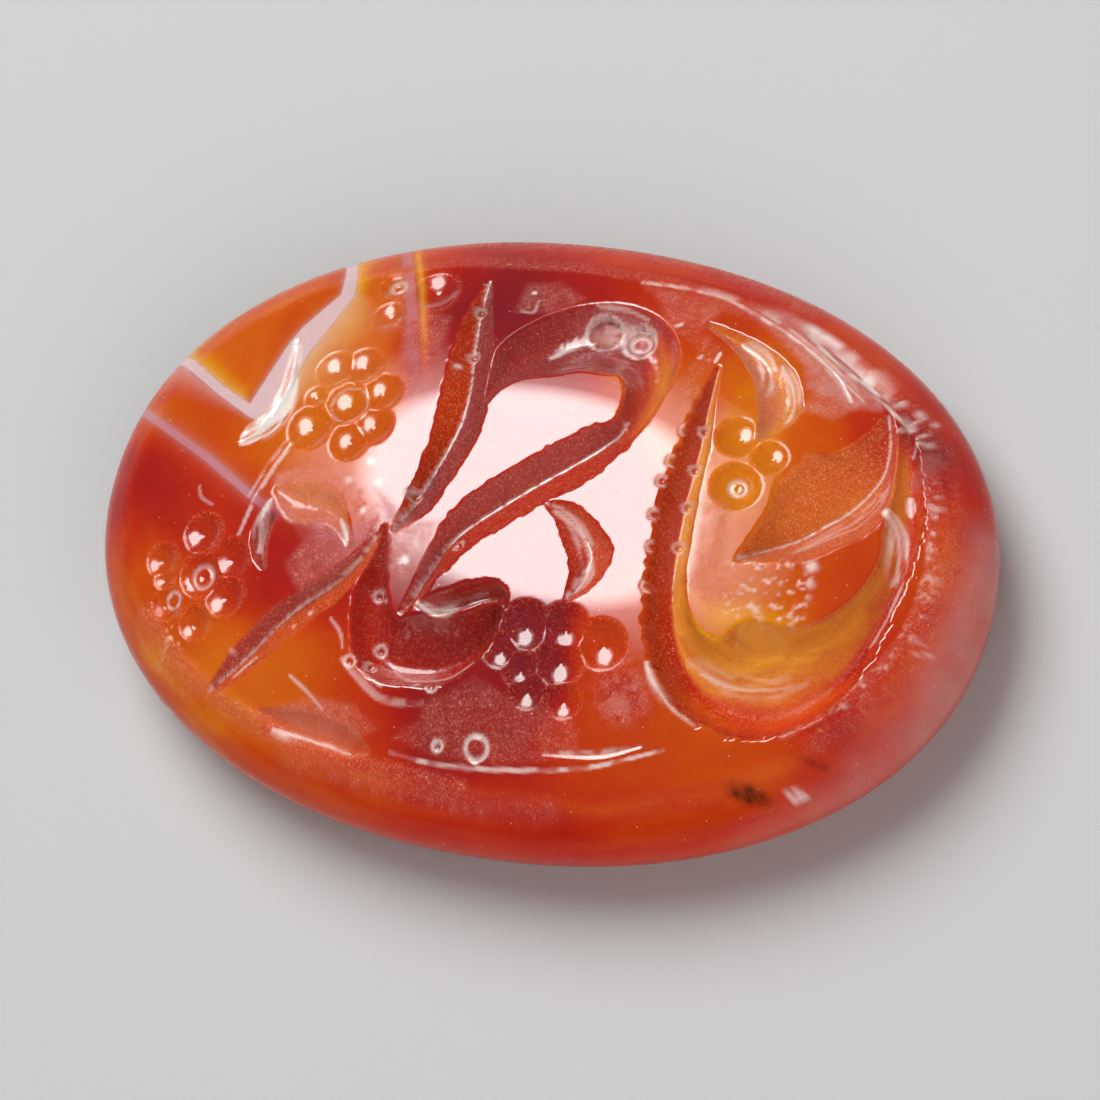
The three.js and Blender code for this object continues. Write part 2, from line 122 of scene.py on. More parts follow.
COOL, WARM = (0.93, 1.0, 1.0), (1.0, 0.94, 0.925)
MIRROR_WAY, FILL_WAY = Vector((-0.275, 0.345, 0.9)), Vector((0.52, -0.58, 0.62))
# the number of lamps in a stack, their distance, size and growth from one to the next, light and tint
stacks = {
    "soft_box": (4, 150, (31, 41), (1.3, 1.5), 6.2, COOL),
    "spill": (6, 175, (36, 46), (2.6, 3.4), 2.2, WARM),
}
for name, (count, distance, (width, height), (wider, higher), light, tint) in stacks.items():
    for step in range(count):
        size = (width + wider * step, height + higher * step)
        soft_panel(f"{name}_{step}", MIRROR_WAY, distance + step, *size, light / count, tint)
fill = soft_panel("fill", FILL_WAY, 170, 62, 56, 1.95, WARM)
fill.visible_glossy = False

# %% [markdown]
# ## Floor
# The stone lies on a plain pale floor, a large disc whose top is at the height of the stone's flat back.
# It is wide enough to fill the picture from every side, and it throws some light back under the rim.

# %% Floor
FLOOR_RADIUS, FLOOR_GREY, FLOOR_GAP = 900, 0.52, 0.004
HALF_TURN_STEPS = 48

turns = [step * math.pi / HALF_TURN_STEPS for step in range(2 * HALF_TURN_STEPS)]
corners = [(FLOOR_RADIUS * MM * math.cos(turn), FLOOR_RADIUS * MM * math.sin(turn), 0) for turn in turns]
floor_mesh = bpy.data.meshes.new("floor")
floor_mesh.from_pydata(corners, [], [tuple(range(len(corners)))])
floor = put("floor", floor_mesh)
floor.location.z = -FLOOR_GAP * MM
print("floor is", 2 * FLOOR_RADIUS, "mm across")

# %% [markdown]
# ## The polished blank
# Before it was engraved, the stone was ground to a slightly full oval with a domed face, a rounded
# shoulder that falls away from the face at a soft edge, the arris, and an underside that runs in to a
# flat back. The sizes are those of the CAD part, so the two shapes lie on each other.


# %% The polished blank
HALF_LENGTH, HALF_WIDTH = 10.0, 7.0
GIRDLE, ARRIS, DOME_RISE = 1.9, 3.3, 1.388
SHOULDER_INSET, SHOULDER_TURN = 1.0, math.radians(50)
BACK_INSET, UNDER_TURN = 1.3, math.radians(65)
FULLNESS = 2.11
FACE_LENGTH, FACE_WIDTH = HALF_LENGTH - SHOULDER_INSET, HALF_WIDTH - SHOULDER_INSET


def reach(x, y, half_length=FACE_LENGTH, half_width=FACE_WIDTH):
    """0 in the middle of an oval and 1 on its outline."""
    total = np.abs(x / half_length) ** FULLNESS + np.abs(y / half_width) ** FULLNESS
    return total ** (1 / FULLNESS)


def face_height(x, y):
    return ARRIS + DOME_RISE * (1 - reach(x, y) ** 2)


print("crown at", ARRIS + DOME_RISE, "mm")

# %% [markdown]
# ## Routes and random grain
# A wheel's cut follows a route, which is drawn with a few points and smoothed. Places are
# shares of the stone's half length and half width, so they are easy to read off the photograph, and they
# are written in thousandths: (500, 0) is halfway to the right end. The broken edges need random numbers
# that are the same at every run, so they come from seeded tables of values.


# %% Routes and random grain
AT_ONCE = 4000  # places worked on together, to save memory
TABLE_SIZE = 128


def smooth_route(rows, samples=260):
    """Rows of numbers joined by one smooth curve through them all."""
    rows = np.array(rows, float)
    held = np.vstack([2 * rows[0] - rows[1], rows, 2 * rows[-1] - rows[-2]])
    at = np.linspace(0, len(rows) - 1 - 1e-9, samples)
    first = at.astype(int)
    part = (at - first)[:, None]
    a, b, c, d = held[first], held[first + 1], held[first + 2], held[first + 3]
    bend = (2 * a - 5 * b + 4 * c - d) * part + (-a + 3 * b - 3 * c + d) * part**2
    return b + 0.5 * part * (c - a + bend)


def to_mm(places):
    return np.array(places, float) / 1000 * (HALF_LENGTH, HALF_WIDTH)


def follow(route, x, y):
    """How far along a route each place lies, 0 to 1, and how far to its left. Past the ends it's nan."""
    along, left = np.empty(len(x)), np.empty(len(x))
    ahead = np.gradient(route, axis=0)
    step = np.hypot(*ahead.T)
    ahead /= step[:, None]
    for start in range(0, len(x), AT_ONCE):
        part = slice(start, start + AT_ONCE)
        away = np.stack([x[part], y[part]], 1)[:, None] - route
        nearest = (away**2).sum(2).argmin(1)
        away = away[np.arange(len(nearest)), nearest]
        facing = ahead[nearest]
        forward = (away * facing).sum(1)
        at = nearest + forward / step[nearest]
        at[(at < -0.5) | (at > len(route) - 0.5)] = np.nan
        along[part] = at / (len(route) - 1)
        left[part] = facing[:, 0] * away[:, 1] - facing[:, 1] * away[:, 0]
    return along, left


def near_route(route, margin, x, y):
    """Which places lie round a route, how far along it they are and how far to its left."""
    low, high = route[:, :2].min(0) - margin, route[:, :2].max(0) + margin
    near = np.flatnonzero((x > low[0]) & (x < high[0]) & (y > low[1]) & (y < high[1]))
    return near, *follow(route[:, :2], x[near], y[near])


def beside_route(route, along):
    """The row that each place is beside, and what the row says after its x and y."""
    at = np.nan_to_num(along) * (len(route) - 1)
    return at, *(np.interp(at, np.arange(len(route)), column) for column in route.T[2:])


def spread(values, near, count):
    """A mask with these values at some places, and 0 at all the others."""
    mask = np.zeros(count)
    mask[near] = values
    return mask


def grain(x, y, size, seed):
    """Smooth random values from -1 to 1 that change over about this size in mm."""
    table = np.random.default_rng(seed).uniform(-1, 1, (TABLE_SIZE, TABLE_SIZE))
    gx, gy = x / size + 5 * TABLE_SIZE, y / size + 5 * TABLE_SIZE
    ix, iy = np.floor(gx).astype(int), np.floor(gy).astype(int)
    fx, fy = gx - ix, gy - iy
    fx, fy = fx * fx * (3 - 2 * fx), fy * fy * (3 - 2 * fy)
    ix, iy, jx, jy = (index % TABLE_SIZE for index in (ix, iy, ix + 1, iy + 1))
    low = table[ix, iy] * (1 - fx) + table[jx, iy] * fx
    high = table[ix, jy] * (1 - fx) + table[jx, jy] * fx
    return low * (1 - fy) + high * fy


def fade(value, start, end):
    """0 up to start and 1 from end on, with a soft change between."""
    part = np.clip((value - start) / (end - start), 0, 1)
    return part * part * (3 - 2 * part)


print("route test:", smooth_route([(0, 0), (1, 0), (1, 1)], 3).round(2).tolist())

# %% [markdown]
# ## Wheel cuts
# Each leaf was cut with the rim of a small wheel that was led along the stone. A sharp wheel leaves a
# V-shaped trough with a fine bright line at its bottom, and a round one leaves a bowl. That line is a
# polished groove, painted pale as well, so it is partly a painted highlight. A row of a route is the
# place, the width to the left and to the right of the way the wheel went, and how deep it stood, all in
# thousandths.
#
# A cut also has a finish: how warm the stone looks through its left and its right wall (0 is crimson, 1
# is yellow), how milky each of them is, how frosted the whole cut is, and how far its edge has crumbled.
# The two walls' values partly paint light and shade: one wall is often given a lighter colour than the
# other, as the light falls on them.

# %% Leaves and blades
wheel_cuts = {}


def wheel_cut(name, section, depth, rows, **finish):
    rows = np.array(rows, float) / 1000
    rows[:, :2] *= (HALF_LENGTH, HALF_WIDTH)
    rows[:, 2:4] *= HALF_WIDTH
    look = {"warmth": 0.4, "milk": 0, "frost": 0.7, "crumble": 0.02, **finish}
    wheel_cuts[name] = (section, depth, smooth_route(rows), look)


wheel_cut("tall blade", "vee", 0.5, [
    (-206, 748, 8, 8, 200), (-197, 630, 40, 46, 750), (-179, 490, 62, 73, 1000), (-158, 355, 58, 88, 1000),
    (-152, 240, 68, 88, 1000), (-163, 140, 70, 70, 1000), (-183, 35, 61, 52, 900), (-207, -60, 50, 33, 700),
    (-242, -146, 8, 8, 200),
], warmth=(0.04, 0.48), milk=(0.06, 0), crumble=0.03)
wheel_cut("arch", "bowl", 0.6, [
    (-122, 280, 10, 8, 50), (-108, 380, 30, 36, 400), (-75, 472, 80, 90, 750), (-20, 538, 105, 122, 1000),
    (45, 580, 126, 128, 1000), (110, 592, 137, 132, 1000), (170, 570, 125, 125, 1000),
    (210, 515, 95, 105, 1000), (222, 435, 64, 70, 950), (217, 340, 50, 52, 800), (205, 250, 30, 30, 500),
], warmth=(0.18, 0.1), milk=(0.08, 0.12), frost=0.35, crumble=0.008)
wheel_cut("long blade", "vee", 0.5, [
    (212, 370, 20, 20, 400), (203, 270, 40, 60, 900), (179, 218, 47, 85, 1000), (133, 150, 67, 99, 1000),
    (50, 46, 61, 101, 1000), (-38, -67, 57, 94, 1000), (-81, -126, 53, 76, 1000), (-117, -198, 47, 46, 900),
    (-142, -269, 34, 30, 750), (-160, -338, 22, 22, 500), (-183, -392, 8, 8, 200),
], warmth=(0.3, 0.24), milk=(0, 0.22), crumble=0.04)
wheel_cut("lower blade", "vee", 0.42, [
    (-268, -162, 8, 8, 200), (-297, -245, 27, 30, 600), (-345, -330, 50, 46, 900),
    (-405, -398, 58, 50, 1000), (-460, -472, 52, 62, 1000), (-508, -553, 47, 62, 1000),
    (-558, -626, 34, 45, 800), (-606, -684, 8, 8, 200),
], warmth=(0.54, 0.3), milk=(0.02, 0.2), frost=0.9)
wheel_cut("side leaf", "scoop", 0.2, [
    (-540, -50, 20, 10, 300), (-475, -82, 75, 70, 900), (-405, -98, 62, 50, 1000),
    (-360, -142, 25, 25, 700), (-333, -200, 8, 8, 200),
], warmth=(0.74, 0.6), frost=0.5)
wheel_cut("comma leaf", "vee", 0.45, [
    (84, -2, 8, 8, 200), (130, -20, 34, 40, 700), (168, -65, 50, 60, 1000), (200, -130, 67, 68, 1000),
    (200, -190, 50, 53, 900), (186, -240, 34, 24, 600), (172, -285, 8, 8, 200),
], warmth=(0.5, 0.4), milk=0.04, crumble=0.035)
# painted reflection: the crescent is shallow and frosted, and its white comes from its milk and from the
# glint strokes below, the streaks of light its facet mirrors
wheel_cut("white crescent", "scoop", 0.05, [
    (-598, 470, 8, 8, 400), (-586, 380, 20, 22, 900), (-583, 280, 26, 28, 1000), (-598, 200, 32, 32, 1000),
    (-636, 135, 30, 30, 900), (-652, 88, 8, 8, 400),
], warmth=0.8, milk=0.6, frost=1.0)
wheel_cut("folded petal", "bowl", 0.3, [
    (-528, -125, 15, 15, 500), (-546, -190, 34, 30, 1000), (-542, -250, 28, 24, 1000),
    (-520, -300, 10, 10, 400),
], warmth=0.24, milk=0.1)
print("cut so far:", ", ".join(wheel_cuts))

# %% [markdown]
# ## Bud and cup
# The bud is a round bowl with a folded lip over it. The cup is the deepest cut of all. It goes down one
# side of a polished island, round the bottom and up the other side, and a wide petal was cut across it.

# %% Bud and cup
wheel_cut("bud bowl", "bowl", 0.75, [
    (-262, -135, 8, 8, 150), (-262, -220, 35, 20, 450), (-260, -330, 50, 50, 700),
    (-252, -430, 85, 60, 800), (-215, -500, 110, 90, 900), (-150, -515, 125, 85, 1000),
    (-80, -492, 125, 90, 1000), (-15, -435, 90, 58, 900), (18, -360, 45, 30, 600), (32, -315, 15, 15, 300),
], warmth=(0.2, 0.3), frost=0.3, milk=0.02)
wheel_cut("bud lip", "bowl", 0.5, [
    (-152, -352, 12, 12, 300), (-115, -355, 34, 30, 800), (-80, -337, 38, 34, 1000),
    (-40, -309, 36, 34, 1000), (-2, -290, 33, 33, 1000), (26, -300, 24, 24, 800), (40, -338, 12, 12, 300),
], warmth=0.24, frost=0.35)
wheel_cut("cup", "bowl", 1.05, [
    (355, 548, 8, 8, 100), (354, 420, 26, 26, 320), (357, 270, 46, 46, 500), (355, 100, 55, 55, 600),
    (360, -50, 57, 55, 620), (367, -180, 60, 56, 660), (388, -300, 75, 68, 740), (425, -395, 120, 80, 860),
    (480, -452, 175, 110, 1000), (560, -462, 215, 126, 1000), (640, -427, 215, 120, 1000),
    (712, -348, 165, 98, 900), (762, -240, 105, 78, 760), (797, -110, 65, 55, 620), (815, 10, 50, 48, 580),
    (815, 100, 56, 56, 580), (810, 200, 50, 55, 520), (795, 310, 40, 45, 420), (778, 410, 30, 30, 300),
    (765, 490, 10, 10, 120),
], warmth=(0.92, 0.32), milk=(0.1, 0), frost=0.5, crumble=(0.01, 0.05))
wheel_cut("wing petal", "vee", 0.6, [
    (503, -72, 10, 8, 200), (560, -30, 95, 30, 800), (617, 17, 180, 60, 1000), (667, 82, 225, 68, 1000),
    (712, 150, 250, 80, 1000), (742, 225, 240, 60, 1000), (757, 305, 200, 30, 900),
    (750, 400, 120, 20, 600), (728, 495, 12, 10, 200),
], warmth=(0.7, 0.6), milk=(0.07, 0.14), frost=0.9)
wheel_cut("cup crescent", "bowl", 0.3, [
    (300, 697, 8, 8, 400), (355, 668, 22, 22, 800), (410, 625, 40, 40, 1000), (450, 580, 55, 55, 1000),
    (483, 530, 64, 64, 1000), (506, 437, 68, 68, 1000), (492, 362, 35, 35, 800), (483, 322, 12, 12, 400),
], warmth=(0.8, 0.7), milk=(0.1, 0.3), frost=0.8)
wheel_cut("rim scoop", "scoop", 0.17, [
    (-475, -718, 10, 10, 200), (-420, -745, 50, 45, 900), (-350, -762, 70, 55, 1000),
    (-270, -782, 60, 50, 900), (-205, -800, 10, 10, 200),
], warmth=0.55, milk=0.06, frost=0.25)
wheel_cut("outer streak", "scoop", 0.16, [
    (470, 775, 8, 8, 200), (525, 730, 30, 28, 900), (600, 665, 42, 36, 1000), (680, 585, 42, 36, 1000),
    (740, 520, 10, 10, 200),
], warmth=0.4, milk=0.3, frost=0.45)
print(len(wheel_cuts), "wheel cuts in all")

# %% [markdown]
# ## Fine lines
# Stems, veins and the ground line were cut with the edge of the smallest wheel. They're narrower than a
# tenth of the leaves, and the crushed stone in them catches the light, so they read as white lines. A row
# is the place and half the width, in thousandths as before.

# %% Fine lines
fine_lines = []


def fine_line(rows, depth=0.12, pale=0.6, broken=0.3):
    rows = np.array(rows, float) / 1000 * (HALF_LENGTH, HALF_WIDTH, HALF_WIDTH)
    fine_lines.append((smooth_route(rows), depth, pale, broken))


fine_line([
    (125, 822, 8), (217, 824, 8), (317, 807, 8), (400, 757, 8), (500, 688, 8), (592, 599, 8), (645, 510, 8),
], depth=0.02, pale=0.45, broken=0.8)
fine_line([
    (250, 835, 6), (350, 810, 6), (440, 755, 8), (530, 680, 8), (620, 585, 8),
], depth=0.01, pale=0.3, broken=0.9)
fine_line([
    (-517, 128, 10), (-551, 30, 8), (-580, -83, 8), (-600, -205, 6),
], depth=0.012, pale=0.45, broken=0.9)
fine_line([
    (-536, 125, 6), (-570, 30, 6), (-600, -83, 6),
], depth=0.006, pale=0.3, broken=1)
fine_line([
    (-163, -792, 6), (-46, -804, 8), (100, -790, 8), (270, -746, 8), (425, -659, 6),
], depth=0.015, pale=0.6, broken=0.8)
fine_line([
    (170, -727, 6), (290, -703, 14), (379, -656, 6),
], depth=0.05, pale=0.4, broken=0.9)
fine_line([
    (-300, -543, 10), (-258, -590, 14), (-200, -643, 14), (-133, -648, 12), (-100, -640, 8),
], depth=0.02, pale=0.3, broken=0.9)
print(len(fine_lines), "fine lines")

# %% [markdown]
# ## Berries
# A berry is one touch of a ball drill: a round hollow, polished by the ball, with a crisp rim. Beads are
# the same with a very small drill. Hollow drills left the rings. The two berries inside the arch sit
# close together on a polished patch.

# %% Berries
berries = {
    0.54: [
        (-317, 694), (-423, 254), (-496, 165), (-670, -335), (465, 157), (94, -375), (179, -460),
        (177, -365), (262, -392),
    ],
    0.47: [
        (-479, 373), (-350, 187), (-394, 128), (-606, -280), (441, 317), (-354, 302), (-417, 390),
        (-690, -205), (-603, -395),
    ],
    0.39: [
        (-415, 706), (-402, 585), (-778, -296), (-745, -432), (-664, -484), (517, 270), (50, -456),
        (98, -502), (121, -562), (200, -572), (75, 635), (155, 622),
    ],
    0.26: [
        (-505, 270), (-763, -355),
    ],
    0.13: [
        (-208, 646), (-190, 484), (-210, 432), (-217, -20), (-98, -152), (-257, -330), (-235, -485),
        (-242, -545), (-280, -550), (357, 337), (357, 210), (360, 90), (362, -40), (-57, -754), (-88, -590),
        (330, 310), (321, 200), (312, 130), (314, 20), (325, -80), (332, -200),
    ],
}
SINK = 0.34  # how deep a berry is, as a share of its radius
drilled_rings = [
    ((29, -742), 0.24, 0.75), ((155, 622), 0.2, 0.7), ((-670, -335), 0.24, 0.4), ((465, 157), 0.17, 0.5),
    ((-415, 706), 0.16, 0.5),
]
print(sum(len(places) for places in berries.values()), "drilled hollows")

# %% [markdown]
# ## Engraving the face
# Every cut is worked out as a depth under the polished face, and where two cuts meet the deeper one wins,
# as it does on the stone. That leaves crisp ridges between them. A boolean with hundreds of tool shapes
# would give the same, but it's slow and leaves ragged faces. The sharp wheel leaned a little, so the
# bottom of a V-cut lies up and to the left of its middle. The same pass notes each place's finish on a
# sheet of masks, one number per mask and place, which the material reads later.

# %% Engraving the face
MASKS = ("warmth", "milk", "pale", "frost", "dark")
GROOVE = 0.032  # half the width of the line at the bottom of a V-cut
LEAN = (-0.34, 0.34)
POINT, POINT_DEPTH = 0.07, 0.025  # the pit that a drill's point leaves
DEEP_FLOOR = 0.3  # a berry in a cut deeper than this is drilled from the cut's floor
LARGEST_BEAD = 0.2
RIM_HEIGHT = 0.06


def trough(section, across, half_width):
    """The share of its depth that a cut has at a place across it, from -1 over 0 to 1."""
    if section == "bowl":
        return 1 - across**2
    if section == "scoop":
        return (1 - across**2) ** 2
    groove = np.abs(across) * half_width < GROOVE
    return 1 - np.where(groove, GROOVE / np.maximum(half_width, GROOVE), np.abs(across)) ** 1.15


def blank_sheet(count):
    return {mask: np.zeros(count) for mask in MASKS}


def lay(sheet, where, **values):
    """Paints values on the sheet where the mask is 1, and mixes them in where it's between 0 and 1."""
    for mask, value in values.items():
        sheet[mask] += (value - sheet[mask]) * where


def cut_leaves(sheet, x, y, depth):
    chips = grain(x, y, 0.13, 1) + 0.6 * grain(x, y, 0.06, 2)
    for section, deepest, route, look in wheel_cuts.values():
        near, along, left = near_route(route, route[:, 2:4].max() + 0.1, x, y)
        at, wide_left, wide_right, deep = beside_route(route, along)
        if section == "vee":
            ahead = np.gradient(route[:, :2], axis=0)[at.astype(int)]
            ahead /= np.hypot(*ahead.T)[:, None]
            aside = (ahead[:, 0] * LEAN[1] - ahead[:, 1] * LEAN[0]) * deepest * deep
            aside = np.clip(aside, -0.6 * wide_right, 0.6 * wide_left)
            left, wide_left, wide_right = left - aside, wide_left - aside, wide_right + aside
        half = np.where(left > 0, wide_left, wide_right)
        across = np.abs(left) / np.maximum(half, 1e-3)
        loose = np.where(left > 0, *np.broadcast_to(look["crumble"], 2))
        crumbled = loose * chips[near] * fade(half, 0.05, 0.25) * fade(across, 0.5, 1)
        across = np.where(np.isnan(along), 9, (left + np.sign(left) * crumbled) / np.maximum(half, 1e-3))
        drop = deepest * deep * trough(section, across, half)
        won = (np.abs(across) < 1) & (drop > depth[near])
        depth[near[won]] = drop[won]
        spot = spread(won * (1 - fade(np.abs(across), 0.9, 1)), near, len(x))
        on_left = spread(fade(across, -0.12, 0.12), near, len(x))
        # each wall's warmth and milk, which partly paint the light and shade that fall on that wall
        walls = {}
        for mask in ("warmth", "milk"):
            left_wall, right_wall = np.broadcast_to(look[mask], 2)
            walls[mask] = left_wall * on_left + right_wall * (1 - on_left)
        lay(sheet, spot * 0.85, **walls)
        lay(sheet, spot, frost=look["frost"], pale=0)
        # painted highlight: the bottom line of a V-cut is painted pale where its polished groove would
        # mirror the light, broken up by grain
        if section == "vee":
            bottom = won * (1 - fade(np.abs(left), GROOVE * 0.6, GROOVE * 1.2))
            bottom = bottom * fade(chips[near], -0.9, -0.2)
            lay(sheet, spread(bottom, near, len(x)), frost=0.1, pale=0.5)


def cut_lines(sheet, x, y, depth):
    breaks = grain(x, y, 0.22, 3)
    for route, deepest, pale, broken in fine_lines:
        near, along, left = near_route(route, 0.4, x, y)
        _, half = beside_route(route, along)
        across = np.where(np.isnan(along), 9, left / half)
        drop = deepest * (1 - np.abs(across))
        won = drop > depth[near]
        depth[near[won]] = drop[won]
        line = (1 - fade(np.abs(across), 0.45, 1.15)) * (1 - broken * fade(breaks[near], -0.2, 0.5))
        lay(sheet, spread(line, near, len(x)), pale=pale, frost=0.35)


def away_from(place, x, y):
    cx, cy = to_mm(place)
    return np.hypot(x - cx, y - cy)


def drill(sheet, x, y, depth):
    for radius, places in berries.items():
        for place in places:
            off = away_from(place, x, y)
            floor_here = depth[off.argmin()]
            drop = radius * SINK * (1 - (off / radius) ** 2) + floor_here * (floor_here > DEEP_FLOOR)
            drop += np.where(off < POINT, POINT_DEPTH, 0)
            won = (drop > depth) & (off < radius)
            depth[won] = drop[won]
            lay(sheet, won * 0.9, frost=0.2, pale=0)
            rim = 1 - fade(np.abs(off - radius * 0.97), 0.03, 0.1)
            lay(sheet, rim * (drop > depth - RIM_HEIGHT) * 0.7, frost=0.7)
            # painted highlight: a pale ring just inside a small bead's rim, where its rounded edge would
            # catch the light
            if radius < LARGEST_BEAD:
                line = 1 - fade(np.abs(off - radius * 0.9), 0.0, 0.05)
                lay(sheet, line * (drop > depth - RIM_HEIGHT), pale=0.6)
    for place, radius, pale in drilled_rings:
        groove = 1 - fade(np.abs(away_from(place, x, y) - radius), 0.02, 0.075)
        depth += groove * 0.05
        lay(sheet, groove * 0.8, pale=pale, frost=0.4)


def roughen(sheet, x, y, depth):
    """Crushed grain on the walls of the cuts, which the wheel's grit leaves."""
    fine = grain(x, y, 0.09, 5) + 0.7 * grain(x, y, 0.05, 6)
    depth += fine * 0.012 * sheet["frost"] * (depth > 0.01)


def engrave(sheet, x, y):
    """How deep the engraving is at each place. The finish of the cuts goes on the sheet."""
    depth = np.zeros(len(x))
    for step in (cut_leaves, cut_lines, drill, roughen):
        step(sheet, x, y, depth)
    return depth


print("masks:", ", ".join(MASKS))

# %% [markdown]
# ## Marking tools
# The colour in the stone follows its growth, and the haze and scratches follow its wear. Both are laid
# with five small tools: a cloud with a soft rim, a patch inside an outline, a ring, a soft line, and a
# scratch that tapers.


# %% Marking tools
def cloud(x, y, place, size):
    """1 in the middle of an oval of this size in mm, and falling off to 0 round it."""
    cx, cy = to_mm(place)
    wide, high = (size, size) if np.isscalar(size) else size
    return np.exp(-(((x - cx) / wide) ** 2) - ((y - cy) / high) ** 2)


def from_line(x, y, places):
    """The distance in mm from a chain of straight lines through these places."""
    points = to_mm(places)
    best = np.full(len(x), 99.0)
    for (ax, ay), (bx, by) in zip(points, points[1:]):
        long2 = max((bx - ax) ** 2 + (by - ay) ** 2, 1e-9)
        part = np.clip(((x - ax) * (bx - ax) + (y - ay) * (by - ay)) / long2, 0, 1)
        best = np.minimum(best, np.hypot(x - ax - part * (bx - ax), y - ay - part * (by - ay)))
    return best


def inside(x, y, outline):
    """True in a closed outline of places in mm, by counting the edges that a level ray crosses."""
    odd = np.zeros(len(x), bool)
    for (ax, ay), (bx, by) in zip(outline, np.roll(outline, -1, 0)):
        spans = (ay > y) != (by > y)
        if ay != by:
            odd ^= spans & (x < (bx - ax) * (y - ay) / (by - ay) + ax)
    return odd


def patch(x, y, places, soft=0.15):
    away = from_line(x, y, [*places, places[0]])
    away = np.where(inside(x, y, to_mm(places)), -away, away)
    return 1 - fade(away, -soft, soft)


def hoop(x, y, place, radius, width):
    return 1 - fade(np.abs(away_from(place, x, y) - radius), width / 2, width)


def along_line(x, y, places, width, core):
    """1 near a chain of lines, and falling off to 0 at this width from them."""
    return 1 - fade(from_line(x, y, places), width * core, width)


def scratch(x, y, places, width):
    """A mark that tapers to both ends and is made of hair lines that run along it."""
    route = smooth_route(to_mm(places), 80)
    length = np.hypot(*np.diff(route, axis=0).T).sum()
    near, along, left = near_route(route, width, x, y)
    there, along = ~np.isnan(along), np.nan_to_num(along)
    half = width / 2 * np.sqrt(np.clip(4 * along * (1 - along), 0, 1))
    hairs = grain(along * length * 0.2, left, 0.055, 10)
    mark = there * (1 - fade(np.abs(left), half * 0.55, half + 0.03)) * np.clip(0.6 + hairs, 0, 1)
    return spread(mark, near, len(x))


print("tools: cloud, patch, hoop, along_line, scratch")

# %% [markdown]
# ## Layers of growth
# Carnelian is chalcedony that grew in layers round a hollow in the rock. A front is the line where one
# layer ends and the next begins, drawn here at the height of the arris. The layers slant, so a place
# deeper in a cut belongs where the front was further along: each place is moved up to the arris along the
# slant first.

# %% Layers of growth
SLANT = (0.4, -0.25)
OUTSIDE_CORNER = (-1600, 1500)
fronts = {
    "wedge": [
        (-1600, 980), (-845, 386), (-757, 304), (-684, 252), (-662, 348), (-632, 475), (-612, 533),
        (-545, 663), (-547, 743), (-660, 1500),
    ],
    "white": [
        (-1600, 930), (-855, 357), (-767, 277), (-675, 207), (-636, 195), (-609, 276), (-585, 435),
        (-544, 564), (-515, 660), (-521, 745), (-632, 1500),
    ],
    "amber": [
        (-1600, 740), (-870, 162), (-745, 69), (-632, -28), (-556, -87), (-481, -132), (-377, -126),
        (-313, -35), (-292, 96), (-299, 244), (-350, 442), (-378, 585), (-401, 703), (-430, 830),
        (-550, 1500),
    ],
    "lilac": [
        (-1600, 715), (-877, 142), (-752, 49), (-639, -49), (-561, -110), (-480, -159), (-357, -156),
        (-293, -44), (-271, 97), (-278, 244), (-328, 443), (-355, 585), (-378, 704), (-408, 830),
        (-526, 1500),
    ],
}


def past_front(name, x, y, z):
    """How far past a front a place lies in mm. What is older than the front is below 0."""
    x, y = x - SLANT[0] * (z - ARRIS), y - SLANT[1] * (z - ARRIS)
    away = from_line(x, y, fronts[name])
    older = inside(x, y, to_mm([*fronts[name], OUTSIDE_CORNER]))
    return np.where(older, -away, away)


print(len(fronts), "fronts, so", len(fronts) + 1, "layers")

# %% [markdown]
# ## Colour in the stone
# The red comes from iron, which soaked in unevenly: crimson where it's thick, then scarlet, orange and
# amber where it's thin. A few dozen clouds, each with its place and its warmth in hundredths, are blended
# by how near they are. This gives the slow changes of a real stone, which random noise alone does not.

# %% Colour in the stone
CLOUD_SIZE = 0.95
warm_clouds = [
    (-80, 50, 66), (-70, 66, 62), (-60, 80, 50), (-70, 45, 60), (-86, 28, 56), (-75, 18, 52), (-62, 6, 60),
    (-56, 25, 74), (-47, 50, 82), (-44, 25, 76), (-45, 84, 48), (-43, 70, 54), (-40, 5, 60), (-90, -5, 26),
    (-78, -8, 26), (-66, -15, 28), (-93, -30, 52), (-80, -42, 58), (-68, -32, 46), (-70, -62, 74),
    (-54, -66, 76), (-42, -60, 70), (-50, -30, 30), (-36, -32, 26), (-30, -60, 46), (-46, -84, 66),
    (-24, -78, 46), (-28, 75, 22), (-20, 60, 12), (-12, 62, 6), (-2, 78, 20), (8, 80, 34), (22, 78, 44),
    (-28, 45, 30), (-5, 40, 22), (-20, 10, 30), (10, 20, 34), (0, -10, 30), (22, 0, 34), (10, -30, 22),
    (-10, -40, 16), (10, -55, 16), (2, -70, 14), (-10, -62, 20), (25, -50, 46), (32, -40, 50), (30, 60, 52),
    (28, 40, 60), (35, 72, 50), (44, 50, 74), (45, 28, 74), (45, 0, 70), (46, -18, 66), (58, -15, 70),
    (60, 20, 62), (60, 45, 58), (60, 62, 50), (72, -6, 50), (75, 50, 28), (86, 42, 22), (92, 20, 30),
    (88, 5, 56), (88, -20, 46), (78, -50, 38), (62, -68, 52), (45, -66, 54), (30, -68, 50), (10, -88, 42),
    (35, -86, 46), (68, -80, 44), (95, -20, 34), (40, 88, 36), (0, 94, 36), (-97, -50, 54), (-84, -70, 72),
    (-62, -88, 80), (-36, -100, 60), (-8, -104, 34), (20, -102, 28), (50, -95, 48), (-50, 98, 62),
    (-85, 66, 72), (-105, 20, 36),
]


def stone_warmth(x, y):
    total, weights = np.zeros(len(x)), np.full(len(x), 1e-9)
    for along, across, warmth in warm_clouds:
        near = cloud(x, y, (along * 10, across * 10), CLOUD_SIZE)
        total += near * (warmth / 100)
        weights += near
    return total / weights


print(len(warm_clouds), "clouds of colour")
